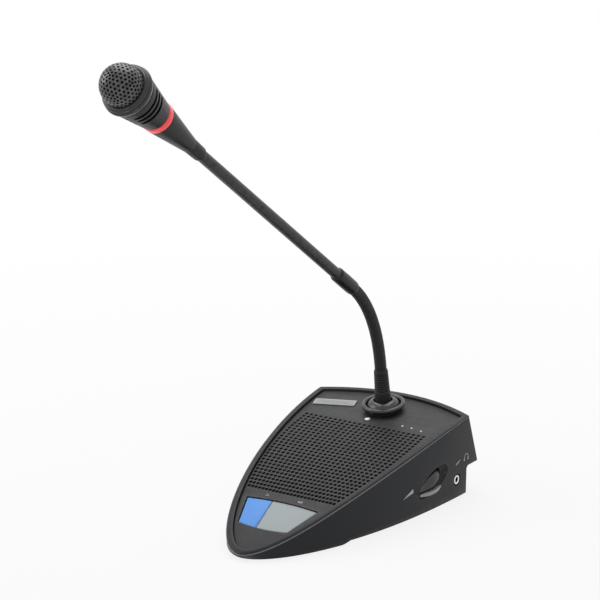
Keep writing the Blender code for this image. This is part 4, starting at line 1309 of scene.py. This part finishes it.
def make_base_screws():
    """Pan heads with a cross recess, over the shanks that hold the plate."""
    shank = 1.3
    for node, at, head, low, high in standing("base_screw_"):
        seat = low + 1.3
        profile = [
            (0, low), (head - 0.5, low), (head, low + 0.5), (head, seat),
            (shank, seat), (shank, high), (0, high),
        ]
        screw = solid(node + "_pan", turned(soften(profile, 0.35, closed=False), ROUND_SMALL), at)
        blades = [box((-x, -y, low - 1), (x, y, low + 0.9)) for x, y in ((1.5, 0.3), (0.3, 1.5))]
        carve(screw, [solid("cross_recess", blade, at) for blade in blades])
        dress(screw, "zinc steel", stands_for=[node])


# Neck seat and gooseneck

def make_bezel():
    """A glossy ring round a shallow cup."""
    ring = solid("bezel_ring", turned(soften(BEZEL_RING, 0.9), ROUND_FINE), SEAT)
    dress(ring, "bezel gloss", stands_for=["neck_bezel"])
    dish = solid("bezel_dish", turned(soften(BEZEL_DISH, 0.9), ROUND_FINE), SEAT)
    dress(dish, "bezel gloss")


def make_boot():
    """The ribbed boot that stands in the bezel."""
    profile = [(0, BOOT_LOW), (BOOT_LOW_RADIUS, BOOT_LOW), (BOOT_LOW_RADIUS - 0.15, BOOT_RIB_LOW - 1.5)]
    pitch = (BOOT_RIB_HIGH - BOOT_RIB_LOW) / BOOT_RIBS
    for i in range(BOOT_RIBS):
        low = BOOT_RIB_LOW + pitch * i
        share = (low - BOOT_LOW) / (BOOT_TOP - BOOT_LOW)
        r = BOOT_LOW_RADIUS + (BOOT_TOP_RADIUS - BOOT_LOW_RADIUS) * share
        groove = [(r - 0.4, low + 0.2 * pitch), (r - 0.4, low + 0.4 * pitch)]
        profile += [(r, low), *groove, (r - 0.05, low + 0.6 * pitch)]
    profile += [
        (BOOT_TOP_RADIUS, BOOT_TOP - 1.6), (BOOT_TOP_RADIUS - 0.3, BOOT_TOP - 0.4), (NECK_RADIUS, BOOT_TOP),
        (0, BOOT_TOP),
    ]
    boot = solid("boot_skin", turned(soften(profile, 0.25, 2, closed=False)), SEAT)
    dress(boot, "neck rubber", stands_for=["neck_boot"])


def neck_line():
    """Points of the gooseneck: one step before its first joint, the joints, one step after its last."""
    joints = [joint_point(body) for body in NECK_BODIES[1:]]
    step = (joints[1] - joints[0]).length
    below = joints[0] - SEAT.col[2].xyz.normalized() * step
    above = joints[-1] + ARM.col[2].xyz.normalized() * step
    return [below] + joints + [above]


def along(points, s):
    """Point and direction on a smooth line through the points, at s steps from the first."""
    i = min(max(int(s), 0), len(points) - 2)
    t = s - i
    before = points[i - 1] if i else points[i] * 2 - points[i + 1]
    after = points[i + 2] if i + 2 < len(points) else points[i + 1] * 2 - points[i]
    a, b = points[i], points[i + 1]
    leave = (b - before) / 2
    arrive = (after - a) / 2
    place = a * (2 * t**3 - 3 * t**2 + 1) + leave * (t**3 - 2 * t**2 + t)
    place += b * (3 * t**2 - 2 * t**3) + arrive * (t**3 - t**2)
    way = a * (6 * t**2 - 6 * t) + leave * (3 * t**2 - 4 * t + 1)
    way = way + b * (6 * t - 6 * t**2) + arrive * (3 * t**2 - 2 * t)
    return place, way.normalized()


def neck_ring(points, s, radius, lift=0.0):
    """One ring round the line at s, lifted along it."""
    place, way = along(points, s)
    side = Vector((1, 0, 0))
    up = way.cross(side)
    turns = [2 * math.pi * k / ROUND_SMALL for k in range(ROUND_SMALL)]
    return [place + way * lift + (side * math.cos(a) + up * math.sin(a)) * radius for a in turns]


def neck_sleeve(points, start, end, ribs, depth):
    """Rings of a ribbed tube along the line. Its ends lie in grooves, where the next sleeve meets it."""
    steps = max(4, round((end - start) * ribs * 6))
    loops = []
    for i in range(steps + 1):
        s = start + (end - start) * i / steps
        wave = 0.5 + 0.5 * math.cos(2 * math.pi * (s - 0.5) * ribs)
        loops.append(neck_ring(points, s, NECK_RADIUS - depth * wave**2))
    return loops


def neck_ball(points, s, radius):
    """Rings of a half ball on the joint at s, from its wide end towards its tip."""
    turns = [math.pi / 2 * i / BALL_STEPS for i in range(BALL_STEPS)]
    return [neck_ring(points, s, radius * math.cos(a), radius * math.sin(a)) for a in turns]


def cut_back(ring, k, points, share):
    """The ring lifted off the joint at k, most in front and behind, so that the joint can nod both ways."""
    centre, way = along(points, k)
    up = way.cross(Vector((1, 0, 0)))
    least, most = JOINT_OF[NECK_BODIES[k]]["range_deg"]
    lifted = []
    for point in ring:
        out = (point - centre).dot(up)
        angle = math.radians((most if out < 0 else -least) + NOD_SPARE)
        lifted.append(point + way * share * (BALL_GAP + abs(out) * math.tan(angle)))
    return lifted


def make_neck_joint(k, points, shape):
    """A nodding joint between two stiff sleeves: a ball on the lower one, in a socket of the upper one."""
    depth = shape.depth / MM
    groove = NECK_RADIUS - depth
    lower = neck_sleeve(points, k - 0.5, k, shape.ribs, depth) + neck_ball(points, k, groove - BALL_GAP)
    wall = neck_sleeve(points, k, k + 0.5, shape.ribs, depth)
    socket = neck_ball(points, k, groove)[:0:-1]
    upper = [cut_back(ring, k, points, 1.0) for ring in socket]
    upper += [cut_back(ring, k, points, 1 - i / (len(wall) - 1)) for i, ring in enumerate(wall)]
    ball = solid(f"neck_ball_{k}", prism(lower))
    dress(ball, "neck rubber", NECK_BODIES[k - 1], sharp=60.0)
    sleeve = solid(f"neck_sleeve_{k}", prism(upper))
    dress(sleeve, "neck rubber", NECK_BODIES[k], [f"neck_segment_{k}"], sharp=60.0)


def make_gooseneck(shape):
    """Ribbed sleeves over the joints: a ball and socket at each nodding joint after the first, one plain
    sleeve across the first joint and across each one that turns sideways.
    """
    points = neck_line()
    last = len(NECK_BODIES) - 1
    for k in range(1, last + 1):
        nods = abs(JOINT_OF[NECK_BODIES[k]]["axis"][0]) > 0.9
        if nods and k > 1:
            make_neck_joint(k, points, shape)
            continue
        start = k - 0.5 if k > 1 else k - 0.15
        end = k + 0.5 if k < last else k + 0.12
        rings = neck_sleeve(points, start, end, shape.ribs, shape.depth / MM)
        sleeve = solid(f"neck_sleeve_{k}", prism(rings))
        covers = [f"neck_segment_{k}"] if k < last else []
        dress(sleeve, "neck rubber", None, covers, sharp=60.0)
        ends = [UNIT @ along(points, s)[0] for s in (start, end)]
        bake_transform(sleeve)


# Arm and head

def arm_piece(name, profile, finish_name, node, segments=ROUND):
    """A turned piece of the arm or the head."""
    dress(solid(name, turned(profile, segments), ARM), finish_name, "arm", [node])


def make_arm():
    collar = [
        (0, 0.15), (COLLAR_RADIUS - 0.3, 0.15), (COLLAR_RADIUS, 1.6), (COLLAR_RADIUS + 0.1, 12.0),
        (COLLAR_RADIUS, COLLAR_LENGTH - 1.6), (ROD_RADIUS + 0.1, COLLAR_LENGTH), (0, COLLAR_LENGTH),
    ]
    profile = soften(collar, 0.5, closed=False)
    arm_piece("collar_skin", profile, "satin black", "neck_collar")
    low = COLLAR_LENGTH - 4
    high = CONE_START - 1
    profile = [(0, low), (ROD_RADIUS, low), (ROD_RADIUS, high), (0, high)]
    arm_piece("rod_skin", profile, "black paint", "neck_rod", ROUND_MIDDLE)
    sleeve = [
        (ROD_RADIUS + 0.05, SLEEVE_START), (SLEEVE_RADIUS - 0.4, SLEEVE_START),
        (SLEEVE_RADIUS - 0.1, SLEEVE_START + 0.9), (CONE_RADIUS - 0.1, CONE_START - 0.4),
        (CONE_RADIUS - 0.25, CONE_START - 0.1), (ROD_RADIUS + 0.05, CONE_START - 0.1),
    ]
    arm_piece("sleeve_skin", soften(sleeve, 0.35), "satin black", "head_sleeve")


def make_cone():
    end = LIGHT_START - 0.15
    wide = LIGHT_RADIUS - 0.25
    cone = [
        (CONE_RADIUS - 0.15, CONE_START), (CONE_RADIUS, CONE_START + 0.5), (wide, end - 0.3),
        (wide - 0.1, end), (wide - 1.5, end), (CONE_RADIUS - 1.4, CONE_START),
    ]
    arm_piece("cone_skin", soften(cone, 0.3), "satin black", "head_cone")


def make_light_ring():
    end = BODY_START - 0.15
    middle = (LIGHT_START + end) / 2
    ring = [
        (LIGHT_BORE, LIGHT_START), (LIGHT_RADIUS - 0.1, LIGHT_START), (LIGHT_RADIUS + 0.05, middle),
        (LIGHT_RADIUS - 0.1, end), (LIGHT_BORE, end),
    ]
    arm_piece("light_band", soften(ring, 0.5), "red light", "light_ring")


def body_radius(z):
    end = RIM_START - 0.3
    return LIGHT_RADIUS + (RIM_RADIUS - 1.2 - LIGHT_RADIUS) * (z - BODY_START) / (end - BODY_START)


def slot_cutter(low, high, start, end):
    """A wedge-shaped block that cuts one slot between two turns about the arm."""
    turns = [start + (end - start) * i / SLOT_STEPS for i in range(SLOT_STEPS + 1)]
    floor = body_radius(low) - SLOT_DEPTH
    reach = RIM_RADIUS + 4
    loop = [(reach * math.cos(a), reach * math.sin(a)) for a in turns]
    loop += [(floor * math.cos(a), floor * math.sin(a)) for a in reversed(turns)]
    return prism([flat(loop, low), flat(loop, high)])


def make_head_body(shape):
    """Tapered body with slots in groups, solid strips between the groups."""
    end = RIM_START - 0.2
    outer = [(LIGHT_RADIUS - 0.15, BODY_START), (LIGHT_RADIUS, BODY_START + 0.4), (body_radius(end), end)]
    inner = [(body_radius(end) - 3.0, end), (LIGHT_RADIUS - 2.4, BODY_START)]
    body = solid("head_skin", turned(soften(outer + inner, 0.3), ROUND_FINE), ARM)
    sector = 2 * math.pi / shape.slot_groups
    cutters = []
    for group in range(shape.slot_groups):
        start = FIRST_STRIP + sector * group + STRIP / 2
        for k in range(shape.slots):
            low = SLOT_START + SLOT_PITCH * k
            block = slot_cutter(low, low + SLOT_WIDTH, start, start + sector - STRIP)
            cutters.append(solid("slot_cutter", block, ARM))
    carve(body, cutters)
    dress(body, "satin black", "arm", ["head_body"])


def make_rim():
    """Flared rim with two ridges round the ball."""
    seat = BALL_RADIUS + 0.08
    ridges = [(RIM_RADIUS - step, RIM_START + rise) for step, rise in RIM_RIDGES]
    profile = soften([(seat, RIM_START)] + ridges + [(seat, RIM_START + RIM_HEIGHT)], 0.45)
    arm_piece("rim_skin", profile, "rim gloss", "grille_rim", ROUND_FINE)


def on_ball(point):
    """The point moved onto the ball, or onto its straight skirt below the middle."""
    if point.z >= 0:
        return point.normalized() * BALL_RADIUS
    side = point.xy.normalized() * BALL_RADIUS
    return Vector((side.x, side.y, point.z))


def make_ball(shape):
    """Pressed mesh ball: a geodesic shell with a round hole at each of its points, on a straight skirt."""
    hole = shape.hole / MM
    net = bmesh.new()
    bmesh.ops.create_icosphere(net, subdivisions=1, radius=BALL_RADIUS)
    bmesh.ops.subdivide_edges(net, edges=net.edges[:], cuts=shape.frequency - 1, use_grid_fill=True)
    for vertex in net.verts:
        vertex.co = on_ball(vertex.co)
    net.verts.index_update()
    net.faces.index_update()
    bm = bmesh.new()
    made = {}
    for face in net.faces:
        centre = face.calc_center_median()
        if centre.z < RIM_START + 0.8 - BALL_CENTRE:
            continue
        corners = face.verts[:]
        web = []
        for i, middle in enumerate(corners):
            before, after = corners[i - 1], corners[(i + 1) % 3]
            aims = ((before.index, before.co), (-1 - face.index, centre), (after.index, after.co))
            for mark, aim in aims:
                key = (middle.index, mark)
                if key not in made:
                    made[key] = bm.verts.new(on_ball(middle.co + (aim - middle.co).normalized() * hole))
                web.append(made[key])
        bm.faces.new(web)
    net.free()
    ball = solid("ball_mesh", bm, ARM @ Matrix.Translation((0, 0, BALL_CENTRE)))
    modifier = ball.modifiers.new("wall", "SOLIDIFY")
    modifier.thickness = MESH_THICK * MM
    modifier.offset = -1.0
    carve(ball, [])
    dress(ball, "mesh paint", "arm", ["mesh_ball"], sharp=50.0)


# Carried-over pieces

INNER_FINISHES = {
    "zinc steel": [
        "bottom_plate", "speaker_magnet", "neck_nut", "board_screw_front_left", "board_screw_front_right",
        "board_screw_rear", "key_board_screw_left", "key_board_screw_right",
    ],
    "gloss black": ["priority_switch", "speak_switch", "volume_pot", "phone_jack"],
    "black paint": ["speaker_frame"],
    "cone paper": ["speaker_cone"],
    "circuit board": ["key_board", "main_board", "ring_light_board"],
    "machined brass": ["neck_bush"],
    "neck rubber": ["capsule_holder"],
    "nickel": ["capsule"],
    "open foam": ["foam_liner"],
}


def make_inner_finishes():
    for finish_name, nodes in INNER_FINISHES.items():
        for node in nodes:
            mesh = frame["nodes"][node].data
            mesh.materials.clear()
            mesh.materials.append(finish(finish_name))


# Stage

PHOTO_TURN = math.radians(33.40)
PHOTO_RISE = math.radians(15.29)
PHOTO_AIM = Vector((0, 90, 30))
PHOTO_SHIFT = (-11.6, 112.4)
PHOTO_DISTANCE = 1671.8
PHOTO_LENS = 156.0
LIGHTS = {
    "overhead softbox": ((-0.2, 0.35, 1.15), 1.1, 9.0),
    "left softbox": ((-1.05, -0.45, 0.75), 0.8, 4.5),
    "right softbox": ((1.1, -0.6, 0.6), 0.9, 0.8),
}


def make_camera():
    level = math.cos(PHOTO_RISE)
    back = Vector((math.sin(PHOTO_TURN) * level, -math.cos(PHOTO_TURN) * level, math.sin(PHOTO_RISE)))
    right = Vector((math.cos(PHOTO_TURN), math.sin(PHOTO_TURN), 0))
    up = back.cross(right)
    place = PHOTO_AIM + right * PHOTO_SHIFT[0] + up * PHOTO_SHIFT[1] + back * PHOTO_DISTANCE
    camera = bpy.data.objects.new("photo camera", bpy.data.cameras.new("photo camera"))
    bpy.context.scene.collection.objects.link(camera)
    camera.data.sensor_width = 36.0
    camera.data.lens = PHOTO_LENS
    camera.data.clip_start = 0.05
    camera.data.clip_end = 20.0
    turn = Matrix((right, up, back)).transposed().to_4x4()
    camera.matrix_world = Matrix.Translation(UNIT @ place) @ turn
    bpy.context.scene.camera = camera


def make_lights():
    aim = UNIT @ Vector((0, 60, 60))
    for name, (place, size, power) in LIGHTS.items():
        lamp = bpy.data.lights.new(name, "AREA")
        lamp.size = size
        lamp.energy = power
        obj = bpy.data.objects.new(name, lamp)
        bpy.context.scene.collection.objects.link(obj)
        obj.location = place
        obj.rotation_euler = (aim - Vector(place)).to_track_quat("-Z", "Y").to_euler()


def seen_directly(wires):
    """1 for what the camera sees, also in metal and glass."""
    path = wires.node("ShaderNodeLightPath").outputs
    mirrored = wires.math("MAXIMUM", path["Is Glossy Ray"], path["Is Transmission Ray"])
    return wires.math("MAXIMUM", path["Is Camera Ray"], mirrored)


def make_world():
    world = bpy.data.worlds.new("studio")
    bpy.context.scene.world = world
    world.use_nodes = True
    wires = Wires(world.node_tree)
    background = world.node_tree.nodes["Background"]
    background.inputs["Color"].default_value = (1, 1, 1, 1)
    strength = wires.math("MULTIPLY_ADD", seen_directly(wires), 0.75, 0.25)
    wires.link(strength, background.inputs["Strength"])


def make_floor():
    bm = bmesh.new()
    bmesh.ops.create_grid(bm, x_segments=2, y_segments=2, size=6.0)
    mesh = bpy.data.meshes.new("floor")
    bm.to_mesh(mesh)
    bm.free()
    floor = bpy.data.objects.new("floor", mesh)
    floor.location.z = -0.0003
    bpy.context.scene.collection.objects.link(floor)
    material = bpy.data.materials.new("pale floor")
    material.use_nodes = True
    nodes = material.node_tree.nodes
    nodes.remove(nodes["Principled BSDF"])
    wires = Wires(material.node_tree)
    matt = wires.node("ShaderNodeBsdfDiffuse")
    matt.inputs["Color"].default_value = (0.88, 0.88, 0.88, 1)
    white = wires.node("ShaderNodeEmission")
    both = wires.node("ShaderNodeMixShader")
    away = wires.node("ShaderNodeVectorMath", operation="LENGTH")
    wires.link(wires.node("ShaderNodeTexCoord").outputs["Object"], away.inputs[0])
    share = wires.math("MULTIPLY_ADD", wires.steps(away.outputs["Value"], 0.2, 0.8), 0.15, 0.85)
    wires.link(wires.math("MULTIPLY", seen_directly(wires), share), both.inputs[0])
    wires.link(matt.outputs[0], both.inputs[1])
    wires.link(white.outputs[0], both.inputs[2])
    wires.link(both.outputs[0], nodes["Material Output"].inputs["Surface"])
    mesh.materials.append(material)


def make_stage():
    bpy.context.scene.view_settings.view_transform = "Standard"
    make_camera()
    make_lights()
    make_world()
    make_floor()


# Operators

class UNIT_OT_stage(bpy.types.Operator):
    """Sets the camera, the soft lights and the pale floor"""

    bl_idname = "conference_unit.stage"
    bl_label = "Stage"

    def execute(self, context):
        make_stage()
        return {"FINISHED"}


class UNIT_OT_housing(bpy.types.Operator):
    """Builds the housing with its rim, scoop and sockets' holes, and the pale bead that paints the rim's
    highlight line
    """

    bl_idname = "conference_unit.housing"
    bl_label = "Housing"

    def execute(self, context):
        make_housing(context.scene.unit_base)
        make_rim_highlight_line(context.scene.unit_base)
        return {"FINISHED"}


class UNIT_OT_top_panel(bpy.types.Operator):
    """Builds the top panel with its grille of round holes"""

    bl_idname = "conference_unit.top_panel"
    bl_label = "Top panel"

    def execute(self, context):
        make_top_panel(context.scene.unit_base)
        return {"FINISHED"}


class UNIT_OT_keys(bpy.types.Operator):
    """Builds the two talk keys"""

    bl_idname = "conference_unit.keys"
    bl_label = "Keys"

    def execute(self, context):
        make_keys(context.scene.unit_base)
        return {"FINISHED"}


class UNIT_OT_panel_trim(bpy.types.Operator):
    """Builds the lamps, the blank plate and the printed signs"""

    bl_idname = "conference_unit.panel_trim"
    bl_label = "Lamps, plate and signs"

    def execute(self, context):
        make_lamps()
        make_blank_plate()
        make_marks()
        return {"FINISHED"}


class UNIT_OT_controls(bpy.types.Operator):
    """Builds the volume wheel, the jack's rim and the line sockets"""

    bl_idname = "conference_unit.controls"
    bl_label = "Wheel, jack and sockets"

    def execute(self, context):
        make_wheel()
        make_scoop_lip()
        make_jack()
        make_sockets()
        return {"FINISHED"}


class UNIT_OT_bottom(bpy.types.Operator):
    """Builds the feet and the screws of the bottom plate"""

    bl_idname = "conference_unit.bottom"
    bl_label = "Feet and screws"

    def execute(self, context):
        make_feet()
        make_base_screws()
        return {"FINISHED"}


class UNIT_OT_gooseneck(bpy.types.Operator):
    """Builds the neck's seat, its boot and the ribbed sleeves over its joints"""

    bl_idname = "conference_unit.gooseneck"
    bl_label = "Gooseneck"

    def execute(self, context):
        make_bezel()
        make_boot()
        make_gooseneck(context.scene.unit_neck)
        return {"FINISHED"}


class UNIT_OT_arm(bpy.types.Operator):
    """Builds the collar, the rod and the sleeve of the head"""

    bl_idname = "conference_unit.arm"
    bl_label = "Arm"

    def execute(self, context):
        make_arm()
        return {"FINISHED"}


class UNIT_OT_head(bpy.types.Operator):
    """Builds the microphone head with its light ring and mesh ball"""

    bl_idname = "conference_unit.head"
    bl_label = "Microphone head"

    def execute(self, context):
        shape = context.scene.unit_head
        make_cone()
        make_light_ring()
        make_head_body(shape)
        make_rim()
        make_ball(shape)
        return {"FINISHED"}


class UNIT_OT_inner(bpy.types.Operator):
    """Gives the carried-over inner pieces their finishes"""

    bl_idname = "conference_unit.inner"
    bl_label = "Inner pieces"

    def execute(self, context):
        make_inner_finishes()
        return {"FINISHED"}


STEPS = (
    UNIT_OT_stage, UNIT_OT_housing, UNIT_OT_top_panel, UNIT_OT_keys, UNIT_OT_panel_trim, UNIT_OT_controls,
    UNIT_OT_bottom, UNIT_OT_gooseneck, UNIT_OT_arm, UNIT_OT_head, UNIT_OT_inner,
)
SETTINGS = {
    "unit_colours": UnitColours, "unit_base": BaseShape, "unit_neck": NeckShape, "unit_head": HeadShape,
}


class UNIT_PT_sidebar(bpy.types.Panel):
    """Lists the settings and the building steps"""

    bl_idname = "UNIT_PT_sidebar"
    bl_label = "Conference unit"
    bl_space_type = "VIEW_3D"
    bl_region_type = "UI"
    bl_category = "Conference unit"

    def draw(self, context):
        for name, group in SETTINGS.items():
            column = self.layout.column()
            for setting in group.__annotations__:
                column.prop(getattr(context.scene, name), setting)
        for step in STEPS:
            self.layout.operator(step.bl_idname)


CLASSES = (*SETTINGS.values(), *STEPS, UNIT_PT_sidebar)


def register():
    for cls in CLASSES:
        bpy.utils.register_class(cls)
    for name, group in SETTINGS.items():
        setattr(bpy.types.Scene, name, PointerProperty(type=group))


def unregister():
    for name in SETTINGS:
        delattr(bpy.types.Scene, name)
    for cls in reversed(CLASSES):
        bpy.utils.unregister_class(cls)


def main():
    register()
    for step in STEPS:
        getattr(bpy.ops.conference_unit, step.bl_idname.split(".")[1])()


if __name__ == "__main__":
    main()
